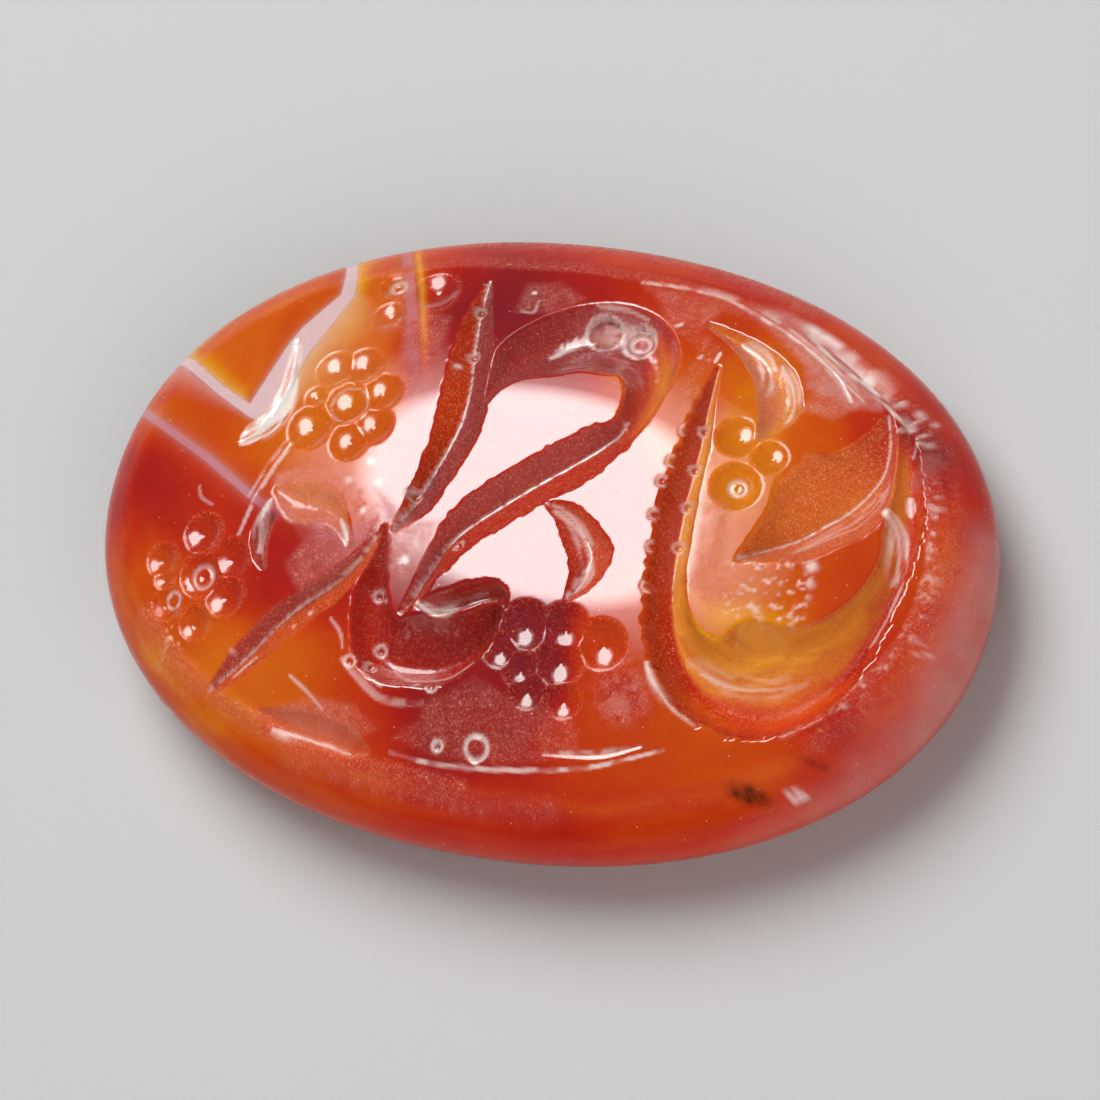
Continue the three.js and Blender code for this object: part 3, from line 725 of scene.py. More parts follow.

# %% [markdown]
# ## Seams, haze, wear and painted highlights
# The seams are the layers' own colour: lilac-white with a yellow glow on the side where the iron is thin.
# The haze is where the face was left unpolished between the cuts. Scratches, chips and pits are the marks
# of long wear, and each one is placed where the photograph shows it. Glints on polished hollows and ridges
# are painted highlights among the strokes, and the right shoulder has a painted sheen.

# %% Seams
def lay_seams(sheet, x, y, z, layer):
    past = {name: past_front(name, x, y, z) for name in fronts}
    clean = 1 - 0.45 * fade(sheet["frost"], 0.2, 0.8)
    low_arm = fade(x, -6.4, -6.9)
    # the yellow glow inside the wedge, along the lower arm of the white layer
    glow = np.exp(np.minimum(past["wedge"], 0) / 0.34) * (past["wedge"] < 0)
    lay(sheet, glow * (0.3 + 0.7 * low_arm), warmth=1.0 * low_arm + 0.55 * (1 - low_arm))
    # outside the upper arm the white goes over into yellow and then into amber
    beyond = np.exp(-np.maximum(past["white"], 0) / 0.36) * (past["white"] > 0) * (1 - low_arm)
    upper = fade(y, 1.2, 2.6)
    lay(sheet, beyond * upper, warmth=0.97)
    soft = 0.35 * upper * fade(y, 4.8, 4.0)
    short_of, beyond_it = np.minimum(past["wedge"], 0), np.maximum(past["white"], 0)
    bled = 0.6 * np.exp(short_of / 0.05 if layer == "wedge" else -beyond_it / (0.05 + soft))
    lay(sheet, (1 if layer == "white" else bled) * clean, milk=0.92)
    # the second seam is thinner, and fades towards the middle of the stone
    short_of, beyond_it = np.minimum(past["amber"], 0), np.maximum(past["lilac"], 0)
    near_lilac = 0.9 if layer == "lilac" else 0.6 * np.exp((short_of - beyond_it) / 0.08)
    top_arm = fade(y, 2.2, 4.2) * fade(x, -5, -4)
    left_arm = fade(x, -4.9, -6.2)
    lay(sheet, near_lilac * clean * np.clip(0.75 * left_arm + 0.5 * top_arm, 0, 1), milk=0.85)
    honey = np.exp(-((past["lilac"] - 0.14) / 0.11) ** 2) * top_arm
    lay(sheet, honey * 0.9, warmth=0.93)
    rose = np.exp(np.minimum(past["amber"], 0) / 0.3) * (past["amber"] < 0) * left_arm
    lay(sheet, rose * 0.3, warmth=0.72)


print("seams ready")

# %% Haze on the face
hazy_patches = [
    ([(-154, -751), (-142, -727), (-100, -692), (-100, -638), (-50, -602), (4, -549), (100, -600),
      (200, -600), (250, -660), (240, -720), (100, -775), (-50, -785)], 0.1),
    ([(360, 800), (460, 800), (610, 690), (720, 560), (710, 500), (630, 490), (550, 530), (530, 610),
      (450, 710)], 0.55),
    ([(138, 807), (179, 766), (200, 724), (221, 670), (300, 690), (320, 760), (400, 740), (520, 620),
      (600, 530), (620, 560), (500, 700), (400, 770), (300, 810)], 0.22),
    ([(-300, -20), (-250, -140), (-245, -250), (-200, -300), (-160, -250), (-140, -100),
      (-200, -110)], 0.42),
    ([(-470, -720), (-350, -665), (-250, -680), (-200, -730), (-260, -790), (-360, -770)], 0.24),
    ([(-120, 760), (-50, 780), (20, 730), (-30, 660), (-120, 650)], 0.16),
    ([(400, 120), (420, -160), (470, -260), (520, -200), (470, -80), (460, 100)], 0.18),
    ([(550, 450), (620, 440), (700, 550), (660, 600), (580, 560)], 0.3),
    ([(790, 300), (840, 260), (860, 380), (820, 410)], 0.3),
    ([(270, -450), (330, -430), (375, -480), (385, -550), (350, -610), (300, -620), (265, -560)], 0.05),
    ([(-550, 0), (-470, 30), (-380, 0), (-350, -100), (-420, -170), (-530, -120)], 0.3),
    ([(-360, 620), (-260, 600), (-250, 450), (-340, 420)], 0.18),
    ([(-470, -280), (-400, -120), (-300, -180), (-340, -300), (-420, -380)], 0.22),
]
# the right shoulder's veil: partly milky stone, partly a painted sheen where that shoulder would mirror the
# light
rim_veil_and_sheen = [
    (1080, 360), (1120, 0), (1090, -320), (990, -600), (840, -860), (620, -1040), (420, -1120), (590, -880),
    (770, -660), (900, -370), (940, -100), (950, 200),
]
UNCUT = 0.05  # mm deep at most, so that the haze stays out of the cuts


def lay_haze(sheet, x, y, depth):
    on_face = fade(reach(x, y), 1.02, 0.97)
    worn = 0.75 + (0.25 * grain(x, y, 0.25, 8) + 0.2 * grain(x, y, 0.1, 9)) * on_face
    for outline, milk in hazy_patches:
        where = patch(x, y, outline, 0.12) * np.clip(worn, 0, 1.1)
        lay(sheet, where * (depth < UNCUT), frost=0.3 + 0.4 * on_face)
        lay(sheet, where * milk, milk=1.0)


def lay_rim_veil_and_sheen(sheet, x, y, z):
    """A veil on the right shoulder, partly milky stone and partly a painted sheen, that fades out under the
    girdle.
    """
    veil = patch(x, y, rim_veil_and_sheen, 0.6) * fade(z, GIRDLE - 0.9, GIRDLE + 0.2)
    lay(sheet, veil * (0.6 + 0.15 * grain(x, y, 0.4, 8)), milk=1.0, frost=0.4)


print(len(hazy_patches), "hazy patches")

# %% Tints in the cuts
# the last tint lies on the cup's inner wall, which faces away from the soft box: its yellow is partly the
# stone's own and partly a painted glow for light that comes through the thin stone there
tints = [
    ([(200, 640), (262, 560), (270, 420), (240, 300), (200, 260), (207, 360), (212, 450),
      (200, 530)], 0.76, 1),
    ([(-520, 450), (-400, 500), (-310, 360), (-290, 200), (-370, 50), (-550, 80), (-560, 250)], 0.68, 0.75),
    ([(-450, 800), (-390, 800), (-370, 600), (-400, 500), (-450, 550)], 0.62, 0.6),
    ([(-830, -200), (-720, -280), (-660, -400), (-600, -500), (-700, -620), (-820, -450)], 0.56, 0.6),
    ([(-760, -120), (-640, -120), (-550, -250), (-560, -420), (-640, -400), (-700, -280)], 0.36, 0.7),
    ([(400, 420), (520, 360), (570, 250), (500, 60), (420, 80)], 0.78, 0.8),
    ([(200, -300), (300, -280), (330, -420), (240, -500), (200, -420)], 0.46, 0.7),
    ([(20, -300), (180, -300), (200, -500), (150, -620), (20, -500)], 0.06, 0.8),
    ([(420, -470), (500, -555), (610, -550), (710, -450), (760, -340), (700, -330), (600, -430),
      (500, -440)], 0.6, 0.75),
    ([(-600, 600), (-660, 400), (-690, 300), (-720, 360), (-680, 550), (-620, 680)], 0.54, 0.7),
    ([(700, 540), (820, 490), (870, 400), (820, 340), (760, 420)], 0.08, 0.9),
    ([(800, 360), (850, 200), (845, 0), (825, -150), (790, -240), (770, -200), (800, -50),
      (800, 200)], 0.5, 0.6),
    ([(680, 550), (760, 460), (760, 300), (700, 340), (640, 480)], 0.36, 0.6),
    ([(440, -220), (480, -300), (600, -320), (700, -240), (600, -200), (500, -200)], 0.92, 0.7),
]


def lay_tints(sheet, x, y):
    for outline, warmth, amount in tints:
        lay(sheet, patch(x, y, outline, 0.3) * amount, warmth=warmth)


gold_streaks = [
    ([(385, -160), (410, -270), (480, -340), (580, -350), (690, -270)], 0.6, 0.98),
    ([(400, -300), (460, -380), (560, -400), (670, -360)], 0.3, 0.76),
    ([(420, -180), (470, -270), (560, -310)], 0.24, 0.78),
    ([(620, -300), (700, -240), (760, -140)], 0.4, 0.8),
    ([(370, 100), (372, -100), (385, -220), (410, -300)], 0.3, 0.86),
]


def lay_streaks(sheet, x, y):
    """The layers that the cup's floor runs through, drawn out along it."""
    for places, width, warmth in gold_streaks:
        lay(sheet, scratch(x, y, places, width), warmth=warmth)


print(len(tints), "tints and", len(gold_streaks), "streaks")

# %% Scratches, glints and pits
# Many strokes here are painted highlights: the glints where polished hollows, folds and ridges would mirror
# the soft box, such as the white crescent's streaks and the fold under the bud lip. The others are
# scratches and crushed grain.
scratches_and_painted_glints = [
    ([(-605, 480), (-590, 400), (-582, 300), (-595, 190), (-655, 90)], 0.4, 0.95),
    ([(-575, 340), (-580, 220), (-610, 150), (-660, 100)], 0.7, 0.9),
    ([(-570, 300), (-590, 200), (-630, 130)], 0.4, 0.9),
    ([(480, 765), (583, 677), (650, 612), (740, 525)], 0.55, 0.8),
    ([(570, 620), (620, 570), (670, 520)], 0.3, 0.4), ([(660, 660), (740, 570)], 0.2, 0.4),
    ([(-440, -765), (-346, -785), (-250, -810)], 0.14, 0.6),
    ([(-155, -350), (-115, -368), (-80, -352), (-40, -322), (10, -300)], 0.36, 0.95),
    ([(420, -360), (500, -400), (560, -400), (620, -380), (680, -330)], 0.6, 0.2),
    ([(450, -390), (530, -410), (610, -390)], 0.1, 0.5),
    ([(829, -11), (812.5, -124), (785, -220)], 0.12, 0.6),
    ([(360, -420), (385, -480), (430, -540), (480, -575)], 0.2, 0.75),
    ([(803, 260), (812, 200)], 0.24, 0.85),
    ([(765, 185), (790, 150), (804, 90), (808, 20), (803, -30)], 0.46, 0.85),
    ([(710, 530), (790, 450), (850, 400)], 0.12, 0.5), ([(740, 550), (830, 500)], 0.1, 0.5),
    ([(790, 380), (810, 470)], 0.1, 0.4), ([(750, 440), (800, 520)], 0.08, 0.4),
    ([(600, 0), (667, 82), (717, 148), (746, 219), (758, 296)], 0.4, 0.3),
    ([(380, 660), (430, 620), (460, 560), (468, 480)], 0.5, 0.55),
    ([(480, 600), (515, 530), (530, 460), (520, 400)], 0.4, 0.6),
    ([(-508, -555), (-533, -590), (-558, -626)], 0.07, 0.5),
    ([(-342, -430), (-312.5, -471), (-300, -519)], 0.06, 0.4),
    ([(-417, -608), (-370, -650), (-325, -698)], 0.09, 0.4),
    ([(-730, -50), (-715, -90), (-680, -115)], 0.05, 0.3),
    ([(-540, -80), (-555, -160), (-552, -250)], 0.24, 0.75),
    ([(-370, -120), (-350, -160), (-338, -210)], 0.16, 0.7),
    ([(-21, -482), (-62.5, -536), (-104, -554), (-150, -562.5), (-183, -548), (-208, -518)], 0.06, 0.5),
    ([(-250, -573), (-221, -596), (-196, -614)], 0.05, 0.5),
    ([(50, 710), (110, 715), (170, 690)], 0.12, 0.4), ([(-30, 520), (10, 575), (60, 600)], 0.22, 0.6),
    ([(100, -10), (150, -50), (185, -120), (195, -190)], 0.4, 0.55),
    ([(200, -150), (195, -200), (180, -250)], 0.3, 0.6), ([(345, 560), (350, 600)], 0.06, 0.8),
    ([(-98, 735), (-92, 720)], 0.12, 0.8), ([(-112, 652), (-80, 652), (-79, 700)], 0.05, 0.35),
    ([(233, 670), (250, 685)], 0.1, 0.5), ([(308, 563), (315, 580)], 0.1, 0.4),
]
abrasions = [
    ([(940, 50), (917, 19), (900, -219), (854, -344), (800, -451), (720, -560)], 0.3, 0.9),
    ([(860, 400), (900, 280), (925, 150), (930, 20)], 0.26, 0.9),
    ([(740, 560), (790, 520), (850, 430)], 0.3, 1), ([(-810, -500), (-740, -600), (-660, -680)], 0.3, 0.8),
    ([(-400, -840), (-200, -880), (0, -900), (200, -880)], 0.4, 0.6),
    ([(-300, 930), (0, 955), (300, 920), (500, 830)], 0.3, 0.7),
    ([(220, 680), (270, 670), (330, 600), (310, 500), (330, 400)], 0.3, 0.8),
    ([(-460, 20), (-380, -20), (-300, -100), (-280, -220)], 0.4, 0.8),
    ([(-330, 550), (-280, 450), (-300, 320)], 0.4, 0.7),
]
white_dots = [
    ((-200, -235), 0.1, 0.95), ((-320, -95), 0.07, 0.6), ((-300, 0), 0.07, 0.6), ((-330, 70), 0.09, 0.6),
    ((-397, -414), 0.05, 0.7), ((-430, -460), 0.04, 0.7), ((-562, -557), 0.05, 0.7),
    ((-130, -585), 0.06, 0.8), ((655, -45), 0.1, 0.85), ((660, -100), 0.08, 0.7), ((-210, 432), 0.06, 0.9),
    ((-370, 0), 0.08, 0.5),
]
pale_hoops = [
    ((155, 622), 0.36, 0.07, 0.8), ((75, 635), 0.4, 0.05, 0.6), ((900, -219), 0.12, 0.05, 0.4),
    ((-730, -417), 0.17, 0.05, 0.5), ((-57, -754), 0.09, 0.04, 0.6), ((-423, 254), 0.42, 0.03, 0.4),
]
inclusions = [
    ((605, -728), (0.32, 0.12), 1), ((730, -606), (0.26, 0.05), 0.4),
]
chip = [
    (672, -695), (690, -683), (712, -678), (720, -690), (708, -705), (690, -715), (680, -705),
]
grainy_lines = [
    ([(850, 300), (875, 160), (890, 30), (885, -80), (870, -190), (830, -310), (770, -420), (720, -480),
      (660, -540)], 0.2, 0.35),
    ([(-800, -460), (-690, -600), (-560, -710), (-400, -790), (-200, -840), (0, -860)], 0.3, 0),
    ([(-500, 740), (-300, 820), (0, 850), (250, 830)], 0.16, 0),
]


def lay_marks(sheet, x, y):
    """Scratches and painted glints, worn places, chips and specks, each broken up by grain."""
    broken = np.clip(0.75 + 0.5 * grain(x, y, 0.11, 10) + 0.3 * grain(x, y, 0.05, 11), 0, 1)
    for places, width, pale in scratches_and_painted_glints:
        lay(sheet, scratch(x, y, places, width), pale=pale, frost=0.15)
    crumbs = fade(grain(x, y, 0.12, 12) + 0.5 * grain(x, y, 0.06, 13), 0.2, 0.8)
    for places, width, frost in abrasions:
        worn = along_line(x, y, places, width, 0.2)
        lay(sheet, worn * (0.4 + 0.6 * crumbs), frost=frost, milk=0.12)
    for places, width, pale in grainy_lines:
        grainy = along_line(x, y, places, width, 0.3)
        lay(sheet, grainy * (0.5 + 0.5 * broken), frost=0.9, milk=0.08)
        lay(sheet, grainy * crumbs * broken * pale, pale=1)
    for place, size, pale in white_dots:
        lay(sheet, np.minimum(cloud(x, y, place, size) * 1.6, 1) * broken, pale=pale)
    for place, radius, width, pale in pale_hoops:
        lay(sheet, hoop(x, y, place, radius, width) * broken, pale=pale)
    # painted highlight: a pale spot on the eye for the glints of its polished hollow
    eye = cloud(x, y, (110, 640), (0.6, 0.32))
    lay(sheet, np.minimum(eye * 1.3, 1) * broken * 0.5, pale=0.75, frost=0.15)
    rough = patch(x, y, [(485, -80), (560, -50), (660, -30), (662, -230), (500, -240)])
    lay(sheet, rough * crumbs * 0.8, pale=0.6, frost=0.8)
    bruise = np.minimum(cloud(x, y, (323, -530), 0.42) * 1.7, 1)
    lumps = fade(grain(x, y, 0.16, 15) + 0.5 * grain(x, y, 0.08, 16), -0.3, 0.6)
    lay(sheet, bruise * 0.8, warmth=0.26, frost=0.5)
    lay(sheet, bruise * lumps * 0.8, milk=0.42, warmth=0.5)
    speckled = cloud(x, y, (-713, -536), (0.25, 0.35))
    lay(sheet, speckled * crumbs, pale=0.45, warmth=0.9)
    lay(sheet, patch(x, y, chip, 0.04) * broken * 0.7, pale=1)
    for place, size, dark in inclusions:
        lay(sheet, np.minimum(cloud(x, y, place, size) * 2, 1) * broken**0.5, dark=dark)


print(len(scratches_and_painted_glints), "strokes,", len(white_dots), "dots and", len(pale_hoops), "hoops")

# %% [markdown]
# ## All round the stone
# The face's masks are only part of the finish. The shoulder was polished less than the face and has a
# milky veil with specks, which on the right is also a painted sheen. The rim's brighter red is a painted
# glow for light that comes through the thin edge, laid on in the material, and the flat back was only
# ground.

# %% All round the stone
def finish_sheet(x, y, z, layer):
    """Every mask for places on the finished surface of one layer, in mm."""
    sheet = blank_sheet(len(x))
    top = z > GIRDLE
    fx, fy = x[top], y[top]
    face = blank_sheet(len(fx))
    face["warmth"] += stone_warmth(fx, fy) + 0.03 * grain(fx, fy, 1.6, 7)
    depth = engrave(face, fx, fy)
    lay_tints(face, fx, fy)
    lay_streaks(face, fx, fy)
    lay_haze(face, fx, fy, depth)
    for mask in MASKS:
        sheet[mask][top] = face[mask]
    sheet["warmth"][~top] = stone_warmth(x[~top], y[~top]) * 0.9 + 0.05
    lay_rim_veil_and_sheen(sheet, x, y, z)
    lay_seams(sheet, x, y, z, layer)
    marks = {mask: sheet[mask][top] for mask in MASKS}
    lay_marks(marks, fx, fy)
    for mask in MASKS:
        sheet[mask][top] = marks[mask]
    # a faint milk along the arris, partly a painted sheen of the shoulder, and a little frost
    beyond = reach(x, y)
    rim = fade(beyond, 0.99, 1.015) * (1 - fade(beyond, 1.05, 1.09)) * top
    lay(sheet, rim * (0.8 + 0.2 * grain(x, y, 1.1, 14)) * 0.03, milk=1.0)
    lay(sheet, rim * 0.3, frost=0.3)
    lay(sheet, 1 - fade(z, 0.02, 0.1), frost=0.8, milk=0.12)
    return sheet


print("the finish covers face, shoulder, rim and back")

# %% [markdown]
# ## The stone's surface
# The face is a square grid pushed into an oval, so its cells stay nearly even and no point is crowded, as
# the middle of a fan would be. Rings carry on from its edge over the shoulder and the rim to the flat
# back. The grid is fine enough, about a twentieth of a millimetre, for the fine lines to be real grooves.

# %% The face as a grid
COLUMNS, ROWS = 376, 248


def face_grid():
    u, v = np.meshgrid(np.linspace(-1, 1, COLUMNS + 1), np.linspace(-1, 1, ROWS + 1), indexing="ij")
    a, b = u * np.sqrt(1 - v**2 / 2), v * np.sqrt(1 - u**2 / 2)
    full = np.maximum((np.abs(a) ** FULLNESS + np.abs(b) ** FULLNESS) ** (1 / FULLNESS), 1e-9)
    a, b = a * np.hypot(a, b) / full, b * np.hypot(a, b) / full
    number = np.arange(a.size).reshape(a.shape)
    quads = np.stack([number[:-1, :-1], number[1:, :-1], number[1:, 1:], number[:-1, 1:]], -1)
    edge = np.concatenate([number[:-1, 0], number[-1, :-1], number[:0:-1, -1], number[0, :0:-1]])
    return a.ravel(), b.ravel(), quads.reshape(-1, 4), edge


shares_x, shares_y, face_quads, edge_loop = face_grid()
x, y = shares_x * FACE_LENGTH, shares_y * FACE_WIDTH
engraved = engrave(blank_sheet(len(x)), x, y)
print(len(face_quads), "cells on the face, deepest cut", round(float(engraved.max()), 2), "mm")

# %% Shoulder, rim and back
SHOULDER_RINGS, UNDER_RINGS, BACK_RINGS, BACK_SIDES_PER_SPAN = 9, 7, 10, 8


def ring_profile():
    """Inset and height of every ring from the arris down to the edge of the back."""
    rings = []
    for step in range(1, SHOULDER_RINGS + 1):
        angle = SHOULDER_TURN * (1 - step / SHOULDER_RINGS)
        inset = SHOULDER_INSET * (1 - math.cos(angle)) / (1 - math.cos(SHOULDER_TURN))
        rings.append((inset, GIRDLE + DOME_RISE * math.sin(angle) / math.sin(SHOULDER_TURN)))
    for step in range(1, UNDER_RINGS + 1):
        angle = UNDER_TURN * step / UNDER_RINGS
        inset = BACK_INSET * (1 - math.cos(angle)) / (1 - math.cos(UNDER_TURN))
        rings.append((inset, GIRDLE * (1 - math.sin(angle) / math.sin(UNDER_TURN))))
    return rings


def strip(outer, inner):
    """Faces between two loops of point numbers of the same length."""
    corners = np.stack([outer, inner, np.roll(inner, -1), np.roll(outer, -1)], 1)
    return [tuple(face) for face in corners.tolist()]


def close_the_stone():
    """Rings of points carry on from the engraved face, down to a single point on the back."""
    points = [np.stack([x, y, face_height(x, y) - engraved], 1)]
    faces = [tuple(face) for face in face_quads.tolist()]

    def add_ring(ring_x, ring_y, height=0.0):
        start = sum(map(len, points))
        points.append(np.stack([ring_x, ring_y, np.full(len(ring_x), height)], 1))
        return np.arange(start, start + len(ring_x))

    loop, side_x, side_y = edge_loop, shares_x[edge_loop], shares_y[edge_loop]
    for inset, height in ring_profile():
        ring = add_ring(side_x * (HALF_LENGTH - inset), side_y * (HALF_WIDTH - inset), height)
        faces += strip(loop, ring)
        loop = ring
    back_x, back_y = points[-1][::BACK_SIDES_PER_SPAN, :2].T
    around = [*loop.tolist(), int(loop[0])]
    for step in range(1, BACK_RINGS):
        share = 1 - step / BACK_RINGS
        ring = add_ring(back_x * share, back_y * share)
        if step > 1:
            faces += strip(loop, ring)
        else:
            for side, (here, after) in enumerate(zip(ring.tolist(), np.roll(ring, -1).tolist())):
                first = side * BACK_SIDES_PER_SPAN
                outer = around[first:first + BACK_SIDES_PER_SPAN + 1]
                faces.append((*outer[::-1], here, after))
        loop = ring
    middle = int(add_ring([0.0], [0.0])[0])
    faces += [(a, middle, b) for a, b in zip(loop.tolist(), np.roll(loop, -1).tolist())]
    return np.concatenate(points), faces


stone_points, stone_faces = close_the_stone()
stone_mesh = bpy.data.meshes.new("engraved_stone")
stone_mesh.from_pydata(stone_points.tolist(), [], stone_faces)
stone_mesh.validate()
print(len(stone_points), "points and", len(stone_faces), "faces all round")

# %% [markdown]
# ## Cutting the stone into its layers
# A slanting block is drawn up from each front, and the stone inside it is that layer. Blender's Manifold
# solver does this cleanly on closed meshes in a second or so, where the older exact solver needs minutes.
# What one layer takes is gone for the next, so the layers lie face to face.

# %% Cutting the stone into its layers
BLOCK_HEIGHTS = (-1.0, 6.0)


def growth_block(name):
    """A slanting block round the part of the stone that is older than a front."""
    outline = to_mm([*fronts[name], OUTSIDE_CORNER])
    after = np.roll(outline, -1, 0)
    if (outline[:, 0] * after[:, 1] - outline[:, 1] * after[:, 0]).sum() < 0:
        outline = outline[::-1]
    levels = []
    for height in BLOCK_HEIGHTS:
        shift = np.array(SLANT) * (height - ARRIS)
        levels.append(np.column_stack([outline + shift, np.full(len(outline), height)]))
    count = len(outline)
    faces = [tuple(range(count))[::-1], tuple(range(count, 2 * count))]
    for side in range(count):
        beside = (side + 1) % count
        faces.append((side, beside, beside + count, side + count))
    mesh = bpy.data.meshes.new(f"block_{name}")
    mesh.from_pydata(np.concatenate(levels).tolist(), [], faces)
    return put(f"block_{name}", mesh)


def cut(mesh, block, operation):
    """The part of a mesh inside a block, or what is left outside it."""
    holder = put("being_cut", mesh)
    tool = holder.modifiers.new("cut", "BOOLEAN")
    tool.object, tool.operation, tool.solver = block, operation, "MANIFOLD"
    view = bpy.context.evaluated_depsgraph_get()
    result = bpy.data.meshes.new_from_object(holder.evaluated_get(view))
    bpy.data.objects.remove(holder)
    return result


layer_meshes = {}
remaining = stone_mesh
for name in fronts:
    block = growth_block(name)
    layer_meshes[name] = cut(remaining, block, "INTERSECT")
    remaining = cut(remaining, block, "DIFFERENCE")
    bpy.data.objects.remove(block)
layer_meshes["body"] = remaining
print({name: len(mesh.polygons) for name, mesh in layer_meshes.items()})

# %% [markdown]
# ## Masks, seams and a map on each layer
# The masks go on the points as attributes, which the material reads. The face between two layers is
# inside the stone, so its edge is marked sharp; else the polished surface would look rounded along every
# seam. The flat map spreads the stone like a peel: face in the middle, shoulder and underside round it.

# %% Masks, seams and a map
ON_FRONT, ON_BACK, DOWN = 2e-3, 1e-3, -0.999
# the lower left and upper right corners of the flat map's three boxes
PEEL_BOX = ((0.01, 0.3), (0.99, 0.99))
BACK_BOX = ((0.01, 0.01), (0.5, 0.27))
WALL_BOX = ((0.53, 0.01), (0.99, 0.27))


def read(items, label, width=1, kind=float):
    """One value, or a row of them, for each point, corner, edge or face of a mesh."""
    values = np.empty(len(items) * width, kind)
    items.foreach_get(label, values)
    return values if width == 1 else values.reshape(-1, width)


def inner_faces(mesh, places):
    """True for each face on a front inside the stone, the point of each corner, and first corners."""
    on_front = np.zeros(len(places), bool)
    for name in fronts:
        on_front |= np.abs(past_front(name, *places.T)) < ON_FRONT
    corner = read(mesh.loops, "vertex_index", kind=int)
    first = read(mesh.polygons, "loop_start", kind=int)
    return np.logical_and.reduceat(on_front[corner], first), corner, first


def mark_seams(mesh, inner, first):
    """Marks the edges between the outside and a front as sharp. Gives the face of each corner."""
    edge_of = read(mesh.loops, "edge_index", kind=int)
    face_of = np.repeat(np.arange(len(first)), np.diff(np.append(first, len(edge_of))))
    inner_sides = np.bincount(edge_of, inner[face_of], len(mesh.edges))
    sharp = mesh.attributes.new("sharp_edge", "BOOLEAN", "EDGE")
    sharp.data.foreach_set("value", inner_sides == 1)
    mesh.polygons.foreach_set("use_smooth", np.ones(len(mesh.polygons), bool))
    return face_of


def fitted(values, rows, low, high):
    """The chosen rows of a flat map, stretched to fill a box of the picture."""
    least = values[rows].min(0)
    span = np.maximum(np.ptp(values[rows], axis=0), 1e-6)
    return low + (values - least) / span * (np.array(high) - low)


def peel_map(mesh, places, inner, corner, face_of):
    """Lays the outside out as one peel, and the back and the inner faces beside it."""
    px, py, pz = places.T
    face_reach = np.maximum(reach(px, py), 1e-6)
    full_reach = np.maximum(reach(px, py, HALF_LENGTH, HALF_WIDTH), 1e-6)
    beyond = (face_reach > 1) | (pz < GIRDLE)
    grow = np.where(beyond, 1 / face_reach + 0.3 * (1 - pz / ARRIS) / full_reach, 1)
    peel = np.stack([px * grow, py * grow], 1)[corner]
    flat = np.stack([px, py], 1)[corner]
    walls = np.stack([px + py, pz], 1)[corner]
    on_wall = inner[face_of]
    faces_down = read(mesh.polygons, "normal", 3)[:, 2] < DOWN
    on_back = faces_down[face_of] & (pz[corner] < ON_BACK) & ~on_wall
    where = fitted(peel, ~on_wall & ~on_back, *PEEL_BOX)
    for values, rows, box in ((flat, on_back, BACK_BOX), (walls, on_wall, WALL_BOX)):
        if rows.any():
            where[rows] = fitted(values, rows, *box)[rows]
    layer = mesh.uv_layers.new(name="OFBake", do_init=False)
    layer.uv.foreach_set("vector", where.astype(np.float32).ravel())


def dress_mesh(mesh, name):
    """Gives a layer its masks, its sharp seams and its flat map. Counts the faces on its fronts."""
    places = read(mesh.vertices, "co", 3)
    for mask, values in finish_sheet(*places.T, name).items():
        layer = mesh.attributes.new(mask, "FLOAT", "POINT")
        layer.data.foreach_set("value", np.clip(values, 0, 1).astype(np.float32))
    inner, corner, first = inner_faces(mesh, places)
    face_of = mark_seams(mesh, inner, first)
    peel_map(mesh, places, inner, corner, face_of)
    return int(inner.sum())


for name, mesh in layer_meshes.items():
    print(name, "has", dress_mesh(mesh, name), "faces on its fronts")

# %% [markdown]
# ## Shader arithmetic
# A material is a sum: colour by warmth, then a painted glow at the rim, milk, crushed white with painted
# highlights, and dark specks over it. Written with the usual signs it stays readable, so one small class
# wraps a socket and turns each sign into a Math node.


# %% Shader arithmetic
class Shade:
    """A value or a colour in a material, with signs that add nodes to it."""

    def __init__(self, tree, socket):
        self.tree, self.socket = tree, socket

    def node(self, kind, settings=None, sockets=None, out=0):
        made = self.tree.nodes.new(kind)
        for name, value in (settings or {}).items():
            if name == "stops":
                ramp = made.color_ramp.elements
                while len(ramp) < len(value):
                    ramp.new(0.5)
                for stop, (position, colour) in zip(ramp, value):
                    stop.position, stop.color = position, colour
            else:
                setattr(made, name, value)
        for name, value in (sockets or {}).items():
            if isinstance(value, Shade):
                self.tree.links.new(value.socket, made.inputs[name])
            else:
                made.inputs[name].default_value = value
        return Shade(self.tree, made.outputs[out])

    def sign(self, operation, first, second):
        return self.node("ShaderNodeMath", {"operation": operation}, {0: first, 1: second})

    def __add__(self, other):
        return self.sign("ADD", self, other)

    def __sub__(self, other):
        return self.sign("SUBTRACT", self, other)

    def __rsub__(self, other):
        return self.sign("SUBTRACT", other, self)

    def __mul__(self, other):
        return self.sign("MULTIPLY", self, other)

    __radd__, __rmul__ = __add__, __mul__

    def held(self):
        """The same value, held between 0 and 1."""
        return self.node("ShaderNodeMath", {"operation": "ADD", "use_clamp": True}, {0: self, 1: 0.0})

    def between(self, low, high):
        """0 where the value is at low and 1 where it's at high, with a soft change between."""
        sockets = {"Value": self, "From Min": low, "From Max": high}
        return self.node("ShaderNodeMapRange", {"interpolation_type": "SMOOTHSTEP"}, sockets)

    def mix(self, under, over):
        """One colour over another, by this value."""
        return self.node("ShaderNodeMix", {"data_type": "RGBA"}, {0: self, 6: under, 7: over}, out=2)


def paint(code):
    """A colour written as six hex digits, as Blender's linear numbers."""
    parts = [int(code[i:i + 2], 16) / 255 for i in (0, 2, 4)]
    return (*(((p + 0.055) / 1.055) ** 2.4 if p > 0.04045 else p / 12.92 for p in parts), 1.0)


